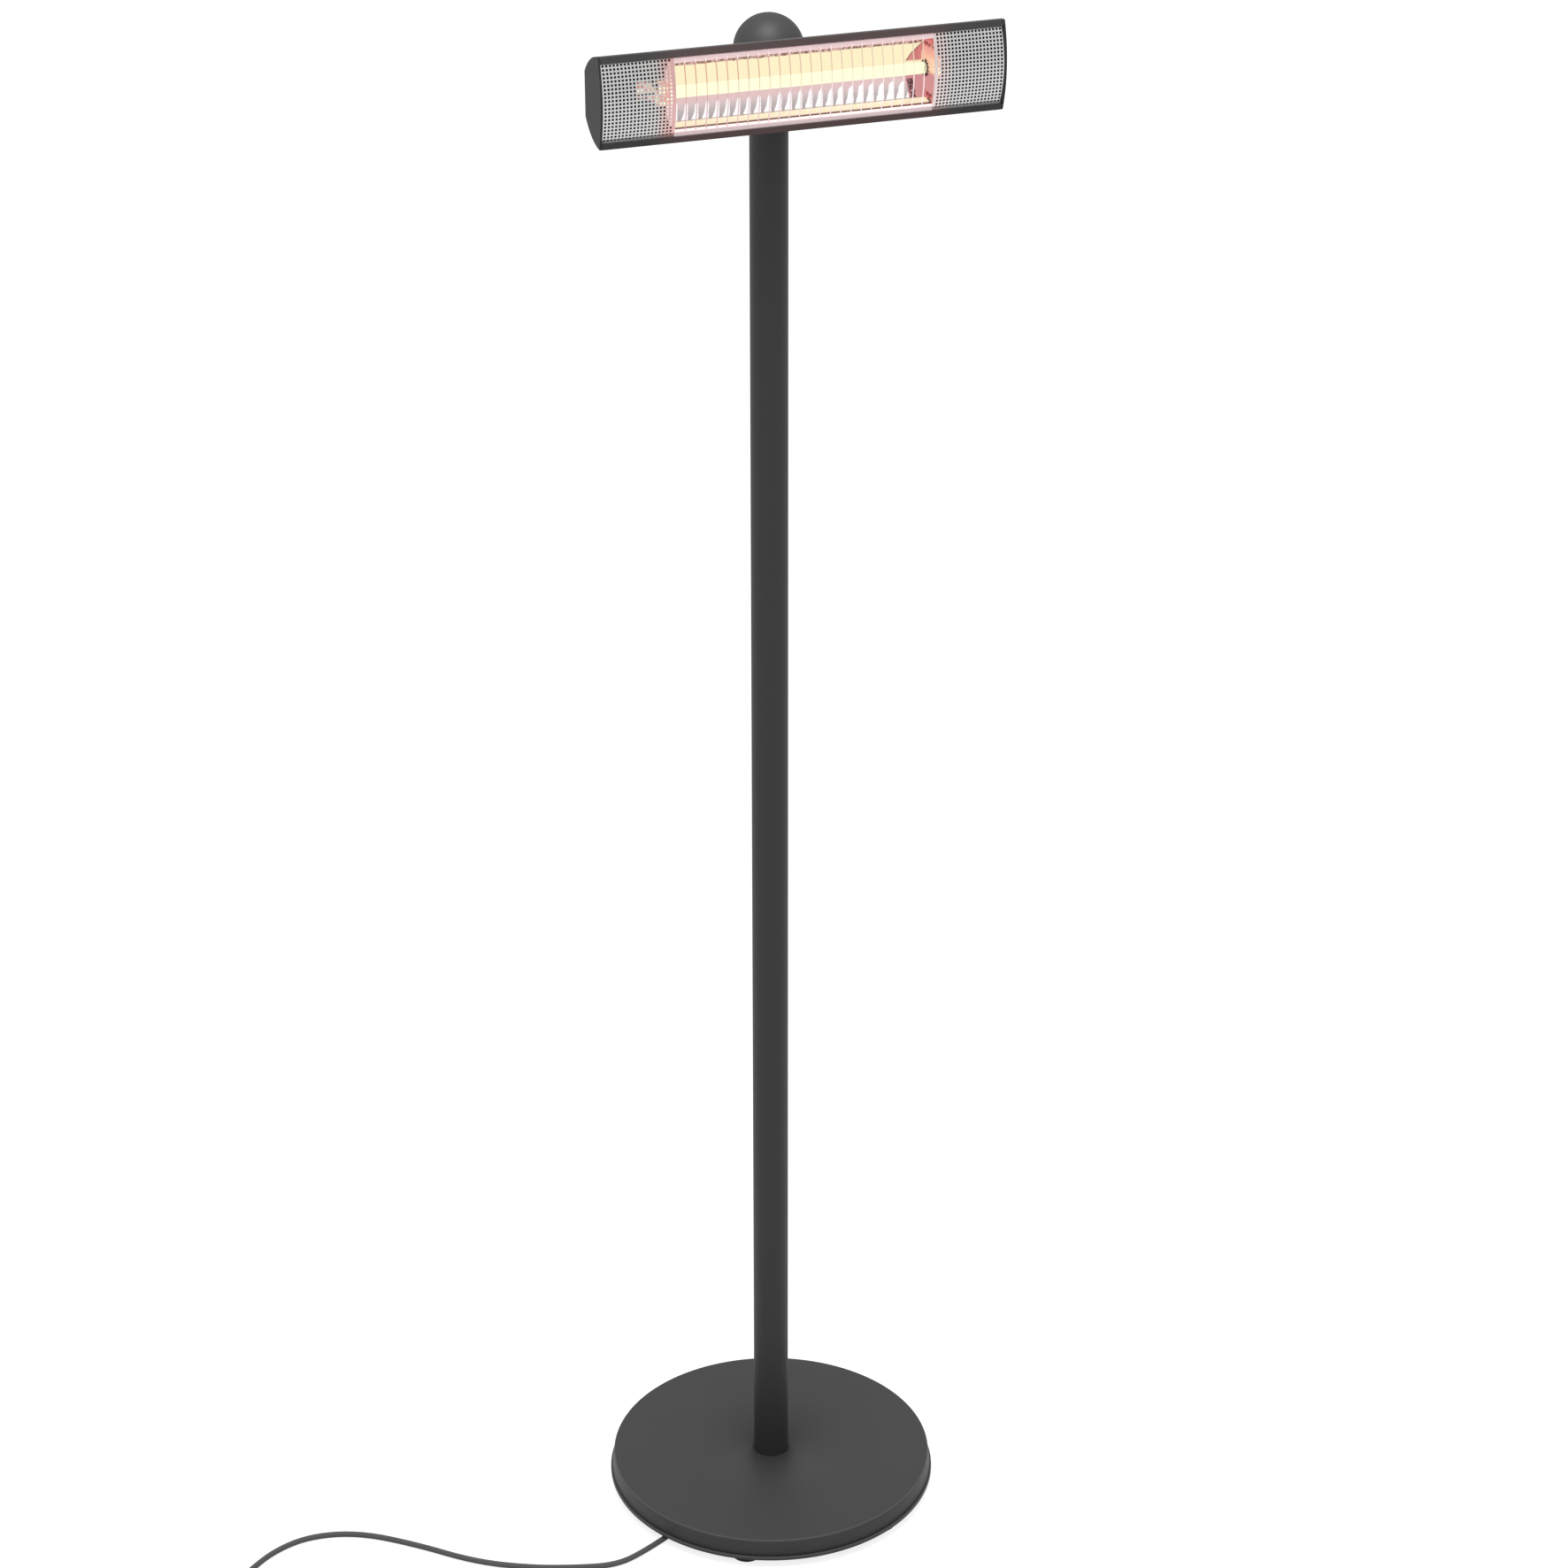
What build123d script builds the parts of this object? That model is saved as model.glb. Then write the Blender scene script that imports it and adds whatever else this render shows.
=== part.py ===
from build123d import *
from math import acos, asin, atan, cos, degrees, pi, radians, sin, sqrt, tan
import os

# Infrared patio heater tower. Millimetres, +Z up, origin on the floor under the pole.
# The heater head faces -Y and its length runs along X.

# ---- clearances -------------------------------------------------------------------------
slip = 0.2              # between pieces of one body that slide together
running = 0.05          # radial, a pin in its bearing
swing = 0.3             # side gap of a moving piece
bolt_clearance = 0.25   # radial, a screw in a plain hole

# ---- base -------------------------------------------------------------------------------
foot_height = 12.0
foot_radius = 20.0
foot_sides = 12
foot_count = 6
foot_inset = 30.1       # plate's rim to the middle of a foot
foot_screw_radius = 2.5
foot_screw_head_radius = 4.75
foot_screw_head = 3.0
foot_recess_depth = 6.0
foot_screw_grip = 12.0

plate_radius = 228.6
plate_thickness = 6.0
base_sides = 48         # large rounds are drawn many-sided, to keep facets few
plate_edge = 1.5

cover_rim = 2.3         # ring of the plate that shows round the cover
cover_taper = 2.55
cover_height = 24.4
cover_wall = 2.0
cover_shoulder = 2.0
cover_post_radius = 6.0

weight_inset = 42.6     # plate's rim to the weight
weight_thickness = 10.0
lead_slot_width = 11.0

flange_radius = 60.0
flange_thickness = 6.0
flange_bolt_ring = 44.0
flange_bolt_radius = 4.0
flange_bolt_head = 5.3
flange_bolt_flats = 13.0
flange_bolt_count = 4

tip_switch_length = 40.0
tip_switch_width = 24.0
tip_switch_height = 10.0
tip_switch_ring = 120.0
tip_switch_corner = 3.0
tip_screw_radius = 1.75
tip_screw_head_radius = 3.2
tip_screw_head = 1.4
tip_screw_spacing = 32.0
tip_screw_depth = 5.0

# ---- mains cord -------------------------------------------------------------------------
cord_angle = 62.0       # from -Y towards -X
cord_diameter = 8.0
cord_lift = 0.05        # air under the lying cord
gland_inset = 40.6      # plate's rim to the gland's outer face
gland_length = 28.0
gland_width = 24.0
gland_corner = 3.0
gland_gap = 2.0         # under the gland block
gland_screw_radius = 2.0
gland_screw_head_radius = 3.6
gland_screw_head = 1.5
gland_screw_grip = 3.0
gland_screw_offset = 8.0
boot_length = 26.0
boot_start_radius = 6.0
boot_end_radius = 4.3
lead_diameter = 7.0
lead_riser_inset = 12.0 # gland's inner face to the lead's way up
lead_bend = 4.0         # corners of the leads inside are cut by this much

# plan points of the cord from the boot to the coil, chosen by eye along its floor line
cord_first_run = 49.0
cord_arc_share = 0.45   # part of a run that the arc at its end may use
cord_points = [
    (-278.6, -139.0),
    (-333.5, -124.9),
    (-392.9, -102.7),
    (-459.8, -63.1),
    (-524.4, 2.1),
    (-591.7, 55.8),
    (-658.3, 72.1),
    (-713.6, 56.1),
    (-758.4, 22.0),
    (-785.2, -1.9),
]
coil_layers = 2
coil_outer = 53.0
coil_inner = 28.5
coil_sides = 24
coil_stub = 32.0
tie_width = 12.0
tie_thickness = 1.2
tie_ease = 1.0
plug_width = 30.0
plug_height = 24.0
plug_length = 38.0
plug_taper = 3.2        # degrees
plug_tail = 24.0
plug_corner = 5.0
plug_relief = 0.8       # wall of the tail at its thin end
plug_pin_length = 18.0
plug_blade_width = 6.3
plug_blade_thickness = 1.5
plug_blade_spacing = 12.7
plug_earth_radius = 2.4
plug_earth_drop = 8.0

# ---- pole and ball ----------------------------------------------------------------------
total_height = 2110.4
pole_radius = 24.0
pole_wall = 1.5
pole_sides = 24
ball_radius = 43.2
ball_wall = 3.0
ball_lap = 3.0
ball_sides = 20         # the shells are drawn many-sided
ball_bands = 6          # flat bands from the ball's middle to its top
ball_crown = 2.0        # radius of the small flat on top
pole_top_drop = 30.0    # from the ball's centre down to the pole's top
yoke_spigot = 30.0
yoke_shoulder = 3.0
yoke_front = 10.0
yoke_back = 12.0
yoke_web_drop = 18.5
ear_radius = 12.0
ear_thickness = 6.0
yoke_bore_radius = 5.0

# ---- tilt joint -------------------------------------------------------------------------
tilt_down = 35.0
tilt_up = 10.0
hinge_radius = 4.0
small_sides = 12
hinge_flats = 13.0
hinge_head = 5.3
hinge_nut = 6.5
hinge_tip = 1.2
washer_radius = 8.0
washer_thickness = 1.6
friction_radius = 11.0
friction_thickness = 1.5
disc_spring_radius = 7.8
disc_spring_height = 3.0
disc_spring_waist = 1.0
arm_width = 12.0
arm_height = 14.0
eye_radius = 12.0
arm_lead_bore = 3.5
arm_lead_mouth = 10.0
arm_flare_start = 50.0
arm_flare_lift = 8.0    # the flare's lower end above the flange's edge
arm_flange_width = 70.0
arm_flange_height = 46.0
arm_flange_thickness = 5.0
arm_flange_corner = 4.0
arm_bolt_radius = 2.5
arm_bolt_head_radius = 4.25
arm_bolt_head = 3.5
arm_bolt_across = 54.0
arm_bolt_up = 30.0
slot_gap = 1.0          # around the arm in the ball's slot
backing_thickness = 3.0

# ---- head shell -------------------------------------------------------------------------
head_length = 510.0
head_height = 110.0
head_drop = 12.5        # head centre below the ball's centre
head_front = 123.3      # front corner line, ahead of the pole's axis
head_depth = 52.1
head_front_rise = 9.5
head_back_height = 54.3
head_side_rise = 6.4
head_wall = 2.0
lip_height = 7.5
cap_thickness = 2.5
cap_spigot_depth = 12.0
cap_spigot_wall = 2.0
cap_spigot_front = 84.0
cap_screw_radius = 1.5
cap_screw_head_radius = 2.9
cap_screw_head = 1.8
cap_screw_spacing = 28.0
cap_screw_grip = 5.0
cap_lug_radius = 4.0

# ---- front grille -----------------------------------------------------------------------
sheet_radius = 120.0
sheet_apex = 130.88     # ahead of the pole's axis
sheet_thickness = 0.8
sheet_end_gap = 0.4
rib_inner = 47.0        # half-height where the ribs behind the sheet start
rib_gap = 0.8           # between the guard wires and the reflector's flange
window_inset = 90.0     # housing end to the window
window_height = 80.0
hole_pitch = 22.5       # one modelled opening stands for a group of five by five real ones
hole_size = 12.0
hole_columns = 4
hole_rows = 4
hole_margin = 12.2      # sheet end to the middle of the first group
hole_punch = 20.0
wire_count = 24
wire_diameter = 2.0
wire_half_height = 43.5
wire_runs = 4           # straight runs that a wire's curve is drawn with

# ---- reflector and lamp -----------------------------------------------------------------
tube_forward = 103.0
tube_radius = 7.0
tube_wall = 1.0
tube_reach = 10.0       # how far the tube stands out of the reflector
tube_seal = 14.0
filament_radius = 1.2
filament_inset = 12.0   # reflector end to the filament's end
reflector_inset = 90.5  # housing end to the reflector
reflector_sheet = 0.8
reflector_back = 88.0
reflector_back_half = 15.0
reflector_knee = 97.0
reflector_knee_half = 31.0
reflector_mouth_half = 40.0
reflector_flange_half = 51.0
end_plate_thickness = 0.8
end_plate_hole = 8.6
holder_length = 14.0
holder_width = 22.0
holder_height = 26.0
holder_corner = 3.0
holder_gap = 1.2
bracket_thickness = 1.2
bracket_height = 30.0
bracket_foot = 14.0
bracket_front = 114.0
lead_hole_gap = 1.0
spring_radius = 9.3
spring_wire = 0.9
spring_length = 7.0

# ---- electric pieces in the head --------------------------------------------------------
grommet_radius = 5.0
grommet_lip = 6.5
grommet_lip_thickness = 1.2
head_lead_diameter = 6.0
head_lead_start = 16.0
wire_lead_diameter = 3.0
wire_lead_reach = 24.0  # room for the wires beyond the lamp holder and behind the switch
terminal_width = 18.0
terminal_depth = 16.0
terminal_height = 24.0
terminal_inset = 24.5   # housing end to the block's middle
terminal_corner = 1.0
switch_inset = 52.5     # housing end to the switch's middle
switch_width = 13.0
switch_height = 28.0
switch_depth = 18.0
switch_bezel_border = 1.6
switch_bezel = 2.0
switch_bezel_edge = 0.8
rocker_width = 10.0
rocker_height = 23.0
rocker_face = 4.5       # pivot to the face's ends
rocker_dip = 1.3        # hollow at the middle of the face
rocker_back = 2.0
rocker_pivot_depth = 2.3
rocker_pin_radius = 1.5
rocker_pin_length = 0.9
rocker_tip = 10.0       # degrees either side of level
rocker_room = 5.8       # cavity depth behind the pivot
rocker_end_gap = 1.3

# ---- levels and places that follow ------------------------------------------------------
foot_ring = plate_radius - foot_inset
cover_bottom_radius = plate_radius - cover_rim
cover_top_radius = cover_bottom_radius - cover_taper
weight_radius = plate_radius - weight_inset
gland_outer = plate_radius - gland_inset
gland_inner = gland_outer - gland_length
boot_end = gland_outer + boot_length
lead_riser = gland_inner + lead_riser_inset
plate_top = foot_height + plate_thickness
weight_top = plate_top + weight_thickness
flange_top = weight_top + flange_thickness
cover_top = plate_top + cover_height
ball_z = total_height - ball_radius
pole_top = ball_z - pole_top_drop
head_z = ball_z - head_drop
head_back = head_front - head_depth
wall_inside = head_back + head_wall
arm_seat = head_back - arm_flange_thickness
half_head = head_height / 2
housing_half = head_length / 2 - cap_thickness
sheet_half = housing_half - sheet_end_gap
window_length = 2 * (housing_half - window_inset)
wire_pitch = window_length / (wire_count + 1)
reflector_half_length = housing_half - reflector_inset
tube_half_length = reflector_half_length + tube_reach
filament_half_length = reflector_half_length - filament_inset
terminal_place = housing_half - terminal_inset
switch_place = housing_half - switch_inset
sheet_axis = sheet_apex - sheet_radius
rib_thickness = wire_diameter + rib_gap
ear_inner = arm_width / 2 + swing + friction_thickness
ear_outer = ear_inner + ear_thickness
cord_radius = cord_diameter / 2
cord_axis_z = cord_radius + cord_lift
coil_height = coil_layers * cord_diameter
holder_start = reflector_half_length + end_plate_thickness + holder_gap
bracket_start = holder_start + holder_length
head_lead_depth = wall_inside + backing_thickness + head_lead_diameter
head_plane = Plane(origin=(0, 0, head_z), x_dir=(0, 1, 0), z_dir=(1, 0, 0))
hinge_plane = Plane(origin=(0, 0, ball_z), x_dir=(0, 1, 0), z_dir=(1, 0, 0))
cord_heading = Vector(-sin(radians(cord_angle)), -cos(radians(cord_angle)), 0)
cord_turn = -90 - cord_angle


# ---- helpers ----------------------------------------------------------------------------
def rod(radius, start, end):
    """Round bar between two points."""
    axis = Vector(*end) - Vector(*start)
    return extrude(Plane(origin=start, z_dir=axis) * Circle(radius), amount=axis.length)


def octagon(radius):
    """Eight-sided outline with the area of a circle of this radius, flats on the axes."""
    return RegularPolygon(radius * sqrt(pi / (2 * sqrt(2))), 8, rotation=22.5)


def bar(radius, start, end):
    """Small round bar or hole between two points, drawn with eight sides to keep facets few."""
    axis = Vector(*end) - Vector(*start)
    return extrude(Plane(origin=start, z_dir=axis) * octagon(radius), amount=axis.length)


def prism(sides, radius, start, end):
    """Straight many-sided bar between two points, its corners at a radius."""
    axis = Vector(*end) - Vector(*start)
    outline = RegularPolygon(radius, sides, rotation=180 / sides)
    return extrude(Plane(origin=start, z_dir=axis) * outline, amount=axis.length)


def around_round(sides, radius):
    """Corner radius of a many-sided hole that a round bar just fits."""
    return radius / cos(pi / sides)


def tapered(plane, outline, length, angle):
    """Bar that narrows along its length. It is drawn upright before it is placed, so its sides stay flat."""
    return plane * extrude(outline, amount=length, taper=angle)


def tapered_prism(plane, sides, start, end, length):
    """Many-sided bar whose corner radius shrinks evenly from its start to its end."""
    slope = (start - end) * cos(pi / sides) / length
    return tapered(plane, RegularPolygon(start, sides, rotation=180 / sides), length, degrees(atan(slope)))


def screw(radius, head_radius, head, seat, tip):
    """Screw with a six-sided head whose underside is at the seat."""
    axis = (Vector(*tip) - Vector(*seat)).normalized()
    return prism(6, head_radius, Vector(*seat) - axis * head, seat) + bar(radius, seat, tip)


def block(x, y, z):
    """Box from its three (low, high) ranges."""
    size = [high - low for low, high in (x, y, z)]
    middle = [(high + low) / 2 for low, high in (x, y, z)]
    return Pos(*middle) * Box(*size)


def around(count, radius, first=0.0):
    """Plan points spread evenly on a circle."""
    turns = [radians(first + 360 * i / count) for i in range(count)]
    return [(radius * cos(t), radius * sin(t)) for t in turns]


def along_x(profile, low, high):
    """Solid of a profile drawn in a YZ plane, between two X values."""
    return extrude(Pos(low, 0, 0) * profile, amount=high - low)


def lead(radius, points, cut):
    """Eight-sided lead inside the product, each corner of its way cut by a short run."""
    way = [Vector(*point) for point in points]
    eased = [way[0]]
    for before, corner, after in zip(way, way[1:], way[2:]):
        eased.append(corner + (before - corner).normalized() * cut)
        eased.append(corner + (after - corner).normalized() * cut)
    path = Polyline(*eased, way[-1])
    section = Plane(origin=path @ 0, z_dir=path % 0) * octagon(radius)
    return sweep(section, path=path, transition=Transition.RIGHT)


def group(solids):
    return Compound(children=list(solids))


# ---- base -------------------------------------------------------------------------------
foot_places = around(foot_count, foot_ring, first=-90 + 180 / foot_count)
bolt_places = around(flange_bolt_count, flange_bolt_ring, first=45)


def rubber_foot(x, y):
    foot = prism(foot_sides, foot_radius, (x, y, 0), (x, y, foot_height))
    foot -= bar(foot_screw_head_radius + slip, (x, y, 0), (x, y, foot_recess_depth))
    return foot - bar(foot_screw_radius + slip, (x, y, 0), (x, y, foot_height))


def foot_screw(x, y):
    seat = (x, y, foot_recess_depth)
    tip = (x, y, plate_top + foot_screw_grip)
    return screw(foot_screw_radius, foot_screw_head_radius, foot_screw_head, seat, tip)


def base_plate():
    plate = prism(base_sides, plate_radius, (0, 0, foot_height), (0, 0, plate_top - plate_edge))
    rim = Plane(origin=(0, 0, plate_top - plate_edge))
    plate += tapered_prism(rim, base_sides, plate_radius, plate_radius - plate_edge, plate_edge)
    hole = foot_screw_radius + bolt_clearance
    for x, y in foot_places:
        plate -= bar(hole, (x, y, foot_height), (x, y, plate_top))
    hole = flange_bolt_radius + bolt_clearance
    for x, y in bolt_places:
        plate -= bar(hole, (x, y, foot_height), (x, y, plate_top))
    for x, y in gland_screw_places():
        plate -= bar(gland_screw_radius, (x, y, foot_height), (x, y, foot_height + gland_screw_grip))
    riser = cord_heading * lead_riser
    return plate - bar(lead_slot_width / 2, (riser.X, riser.Y, foot_height), (riser.X, riser.Y, plate_top))


def pole_bore(low, high):
    """Many-sided hole that the pole just fits."""
    return prism(pole_sides, around_round(pole_sides, pole_radius), (0, 0, low), (0, 0, high))


def base_weight():
    """Cast disc with a slot for the lead."""
    weight = prism(base_sides, weight_radius, (0, 0, plate_top), (0, 0, weight_top))
    weight -= pole_bore(plate_top, weight_top)
    slot = block((0, weight_radius), (-lead_slot_width / 2, lead_slot_width / 2), (plate_top, weight_top))
    weight -= Rot(0, 0, cord_turn) * slot
    hole = flange_bolt_radius + bolt_clearance
    for x, y in bolt_places:
        weight -= bar(hole, (x, y, plate_top), (x, y, weight_top))
    for x, y in tip_screw_places():
        weight -= bar(tip_screw_radius, (x, y, weight_top - tip_screw_depth), (x, y, weight_top))
    return weight


def base_cover():
    """Thin tapered cover with a collar round the pole and screw posts inside."""
    under = cover_top - cover_wall
    collar = around_round(pole_sides, pole_radius + slip)
    shoulder = Plane(origin=(0, 0, cover_top - cover_shoulder))
    skirt = Plane(origin=(0, 0, plate_top))
    skirt_height = cover_height - cover_shoulder
    cover = tapered_prism(skirt, base_sides, cover_bottom_radius, cover_top_radius, skirt_height)
    rounded = cover_top_radius - cover_shoulder
    cover += tapered_prism(shoulder, base_sides, cover_top_radius, rounded, cover_shoulder)
    inside_bottom = cover_bottom_radius - cover_wall
    inside_top = cover_top_radius - cover_wall
    cover -= tapered_prism(skirt, base_sides, inside_bottom, inside_top, cover_height - cover_wall)
    cover += prism(pole_sides, collar + cover_wall, (0, 0, flange_top), (0, 0, under))
    cover -= prism(pole_sides, collar, (0, 0, flange_top), (0, 0, cover_top))
    for x, y in foot_places:
        cover += bar(cover_post_radius, (x, y, plate_top), (x, y, under))
        cover -= bar(foot_screw_radius, (x, y, plate_top), (x, y, plate_top + foot_screw_grip))
    return cover


def pole_flange():
    flange = prism(base_sides // 2, flange_radius, (0, 0, weight_top), (0, 0, flange_top))
    flange -= pole_bore(weight_top, flange_top)
    for x, y in bolt_places:
        flange -= bar(flange_bolt_radius, (x, y, weight_top), (x, y, flange_top))
    return flange


def flange_bolt(x, y):
    head_radius = flange_bolt_flats / sqrt(3)
    return screw(flange_bolt_radius, head_radius, flange_bolt_head, (x, y, foot_height), (x, y, flange_top))


def tip_switch_centre():
    return cord_heading * -tip_switch_ring


def tip_screw_places():
    centre = tip_switch_centre()
    half = tip_screw_spacing / 2
    return [(centre.X - half, centre.Y), (centre.X + half, centre.Y)]


def tip_over_switch():
    centre = tip_switch_centre()
    body = Box(tip_switch_length, tip_switch_width, tip_switch_height)
    body = chamfer(body.edges().filter_by(Axis.Z), tip_switch_corner)
    body = Pos(centre.X, centre.Y, weight_top + tip_switch_height / 2) * body
    hole = tip_screw_radius + bolt_clearance
    for x, y in tip_screw_places():
        body -= bar(hole, (x, y, weight_top), (x, y, weight_top + tip_switch_height))
    return body


def tip_switch_screw(x, y):
    seat = (x, y, weight_top + tip_switch_height)
    tip = (x, y, weight_top - tip_screw_depth)
    return screw(tip_screw_radius, tip_screw_head_radius, tip_screw_head, seat, tip)


# ---- mains cord -------------------------------------------------------------------------
def out_along_cord(distance, height, aside=0.0):
    """Point at a distance from the pole's axis in the direction of the cord's exit."""
    side = Vector(-cord_heading.Y, cord_heading.X, 0)
    return cord_heading * distance + side * aside + Vector(0, 0, height)


def gland_screw_places():
    middle = (gland_inner + gland_outer) / 2
    points = [out_along_cord(middle, 0, aside) for aside in (-gland_screw_offset, gland_screw_offset)]
    return [(p.X, p.Y) for p in points]


def cable_gland():
    low = gland_gap
    gland = block((gland_inner, gland_outer), (-gland_width / 2, gland_width / 2), (low, foot_height))
    gland = Rot(0, 0, cord_turn) * chamfer(gland.edges().filter_by(Axis.Z), gland_corner)
    hole = gland_screw_radius + bolt_clearance
    for x, y in gland_screw_places():
        gland -= bar(hole, (x, y, low), (x, y, foot_height))
    return gland


def gland_screw(x, y):
    seat = (x, y, gland_gap)
    tip = (x, y, foot_height + gland_screw_grip)
    return screw(gland_screw_radius, gland_screw_head_radius, gland_screw_head, seat, tip)


def boot_height(radius):
    """Height of the boot's axis where it has this radius and just clears the floor."""
    return radius + cord_lift


def cord_boot():
    """Tapered sleeve whose underside keeps just above the floor, cut upright at both ends."""
    near = out_along_cord(gland_outer, boot_height(boot_start_radius))
    far = out_along_cord(boot_end, boot_height(boot_end_radius))
    way = far - near
    spare = way * (boot_start_radius / way.length)
    taper = (boot_start_radius - boot_end_radius) * spare.length / way.length
    plane = Plane(origin=near - spare, x_dir=(cord_heading.Y, -cord_heading.X, 0), z_dir=way)
    thick = boot_start_radius + taper
    thin = boot_end_radius - taper
    boot = tapered_prism(plane, 8, thick, thin, (way + spare * 2).length)
    span = block((gland_outer, boot_end), (-gland_width, gland_width), (0, foot_height))
    return boot & Rot(0, 0, cord_turn) * span


def cord_route():
    """Exit, free points and the start of the coil, all with their heights."""
    start_z = boot_height(boot_end_radius)
    start = out_along_cord(boot_end, start_z)
    first = out_along_cord(boot_end + cord_first_run, start_z)
    return [start, first] + [Vector(x, y, cord_axis_z) for x, y in cord_points]


def corner_radii(points):
    """The largest arc that each corner's two runs allow."""
    radii = []
    for before, corner, after in zip(points, points[1:], points[2:]):
        arriving = corner - before
        leaving = after - corner
        half_turn = radians(arriving.get_angle(leaving)) / 2
        radii.append(cord_arc_share * min(arriving.length, leaving.length) / tan(half_turn))
    return radii


def mains_cord():
    points = cord_route()
    radii = corner_radii(points)
    path = FilletPolyline(*points, radius=radii)
    cord = sweep(Plane(origin=path @ 0, z_dir=path % 0) * octagon(cord_radius), path=path)
    expected = pi * cord_radius**2 * path.length
    print("cord arc radii", [round(r) for r in radii])
    print("cord length", round(path.length, 1), "volume ratio", round(cord.volume / expected, 5))
    return cord


def coil_heading():
    route = cord_route()
    return (route[-1] - route[-2]).normalized()


def coil_centre():
    """The coil lies to the left of the arriving cord, which joins its outer turn."""
    heading = coil_heading()
    joins = cord_route()[-1] + heading * coil_stub
    left = Vector(-heading.Y, heading.X, 0)
    centre = joins + left * (coil_outer - cord_radius)
    return Vector(centre.X, centre.Y, 0)


def plug_end_height():
    return coil_height - cord_radius + cord_lift


def cord_coil():
    """The wound turns as one ring, with the cord's way in and out."""
    centre = coil_centre()
    low = Vector(centre.X, centre.Y, cord_lift)
    high = Vector(centre.X, centre.Y, cord_lift + coil_height)
    coil = prism(coil_sides, coil_outer, low, high) - prism(coil_sides, coil_inner, low, high)
    arriving = cord_route()[-1]
    coil += bar(cord_radius, arriving, arriving + coil_heading() * coil_stub)
    leaving = coil_exit()
    return coil + bar(cord_radius, leaving - Vector(coil_stub, 0, 0), leaving)


def coil_exit():
    """Where the cord comes off the coil's top layer, heading +X."""
    return coil_centre() + Vector(coil_stub, cord_radius - coil_outer, plug_end_height())


def coil_tie():
    """Strap over the coil's band, open below so that the coil lies flat."""
    centre = coil_centre()
    inside = (coil_inner - tie_ease, coil_outer)
    outside = (inside[0] - tie_thickness, coil_outer + tie_thickness)
    top = coil_height + cord_lift
    strap = block(outside, (-tie_width / 2, tie_width / 2), (cord_lift, top + tie_thickness))
    strap -= block(inside, (-tie_width, tie_width), (0, top))
    return Pos(centre.X, centre.Y, 0) * strap


def plug_body():
    """Moulded plug with a tapered tail, lying on its side."""
    tail = coil_exit()
    face = Plane(origin=tail + Vector(plug_tail + plug_length, 0, 0), x_dir=(0, 1, 0), z_dir=(-1, 0, 0))
    outline = chamfer(Rectangle(plug_width, plug_height).vertices(), plug_corner)
    body = tapered(face, outline, plug_length, plug_taper)
    thick = plug_height / 2 - plug_length * tan(radians(plug_taper)) - plug_relief
    return body + tapered_prism(face.offset(plug_length), 8, thick, cord_radius + plug_relief, plug_tail)


def plug_pins():
    tail = coil_exit()
    face_x = tail.X + plug_tail + plug_length
    pins = []
    for side in (-1, 1):
        middle = tail.Y + side * plug_blade_spacing / 2
        across = (middle - plug_blade_thickness / 2, middle + plug_blade_thickness / 2)
        rise = tail.Z + plug_earth_drop / 2 - plug_blade_width / 2
        pins.append(block((face_x, face_x + plug_pin_length), across, (rise, rise + plug_blade_width)))
    low = tail.Z - plug_earth_drop / 2
    pins.append(bar(plug_earth_radius, (face_x, tail.Y, low), (face_x + plug_pin_length, tail.Y, low)))
    return group(pins)


def supply_lead():
    """Lead from the gland through the weight's slot and up the pole."""
    level = plate_top + weight_thickness / 2
    riser_low = out_along_cord(lead_riser, foot_height)
    riser_high = out_along_cord(lead_riser, level)
    end = Vector(0, 0, ball_z - yoke_web_drop)
    return lead(lead_diameter / 2, [riser_low, riser_high, Vector(0, 0, level), end], lead_bend)


# ---- pole and ball ----------------------------------------------------------------------
def pole():
    outer = rod(pole_radius, (0, 0, weight_top), (0, 0, pole_top))
    return outer - rod(pole_radius - pole_wall, (0, 0, weight_top), (0, 0, pole_top))


def hinge_yoke():
    """Turned plug in the pole's top with two ears for the hinge bolt."""
    foot = (0, 0, pole_top - yoke_spigot)
    neck = (0, 0, pole_top)
    yoke = prism(pole_sides, pole_radius - pole_wall, foot, neck)
    yoke += prism(pole_sides, pole_radius, neck, (0, 0, pole_top + yoke_shoulder))
    column = block((-ear_outer, ear_outer), (-yoke_front, yoke_back), (pole_top, ball_z))
    crown = prism(pole_sides, ear_radius, on_hinge(-ear_outer), on_hinge(ear_outer))
    yoke += column + crown
    gap_height = (ball_z - yoke_web_drop, total_height)
    yoke -= block((-ear_inner, ear_inner), (-pole_radius, pole_radius), gap_height)
    bore = around_round(small_sides, hinge_radius)
    yoke -= prism(small_sides, bore, on_hinge(-ear_outer), on_hinge(ear_outer))
    return yoke - bar(yoke_bore_radius, foot, (0, 0, ball_z - yoke_web_drop))


def ball_slot():
    """Wedge that clears the arm over its whole swing."""
    half_arm = degrees(asin((arm_height / 2 + slot_gap) / (ball_radius - ball_wall)))
    low = radians(tilt_down + half_arm)
    high = radians(tilt_up + half_arm)
    reach = 2 * ball_radius
    outline = Polyline(
        (0, 0),
        (-reach * cos(low), -reach * sin(low)),
        (-reach, 0),
        (-reach * cos(high), reach * sin(high)),
        close=True,
    )
    half_width = arm_width / 2 + slot_gap
    return along_x(hinge_plane * make_face(outline), -half_width, half_width)


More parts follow.
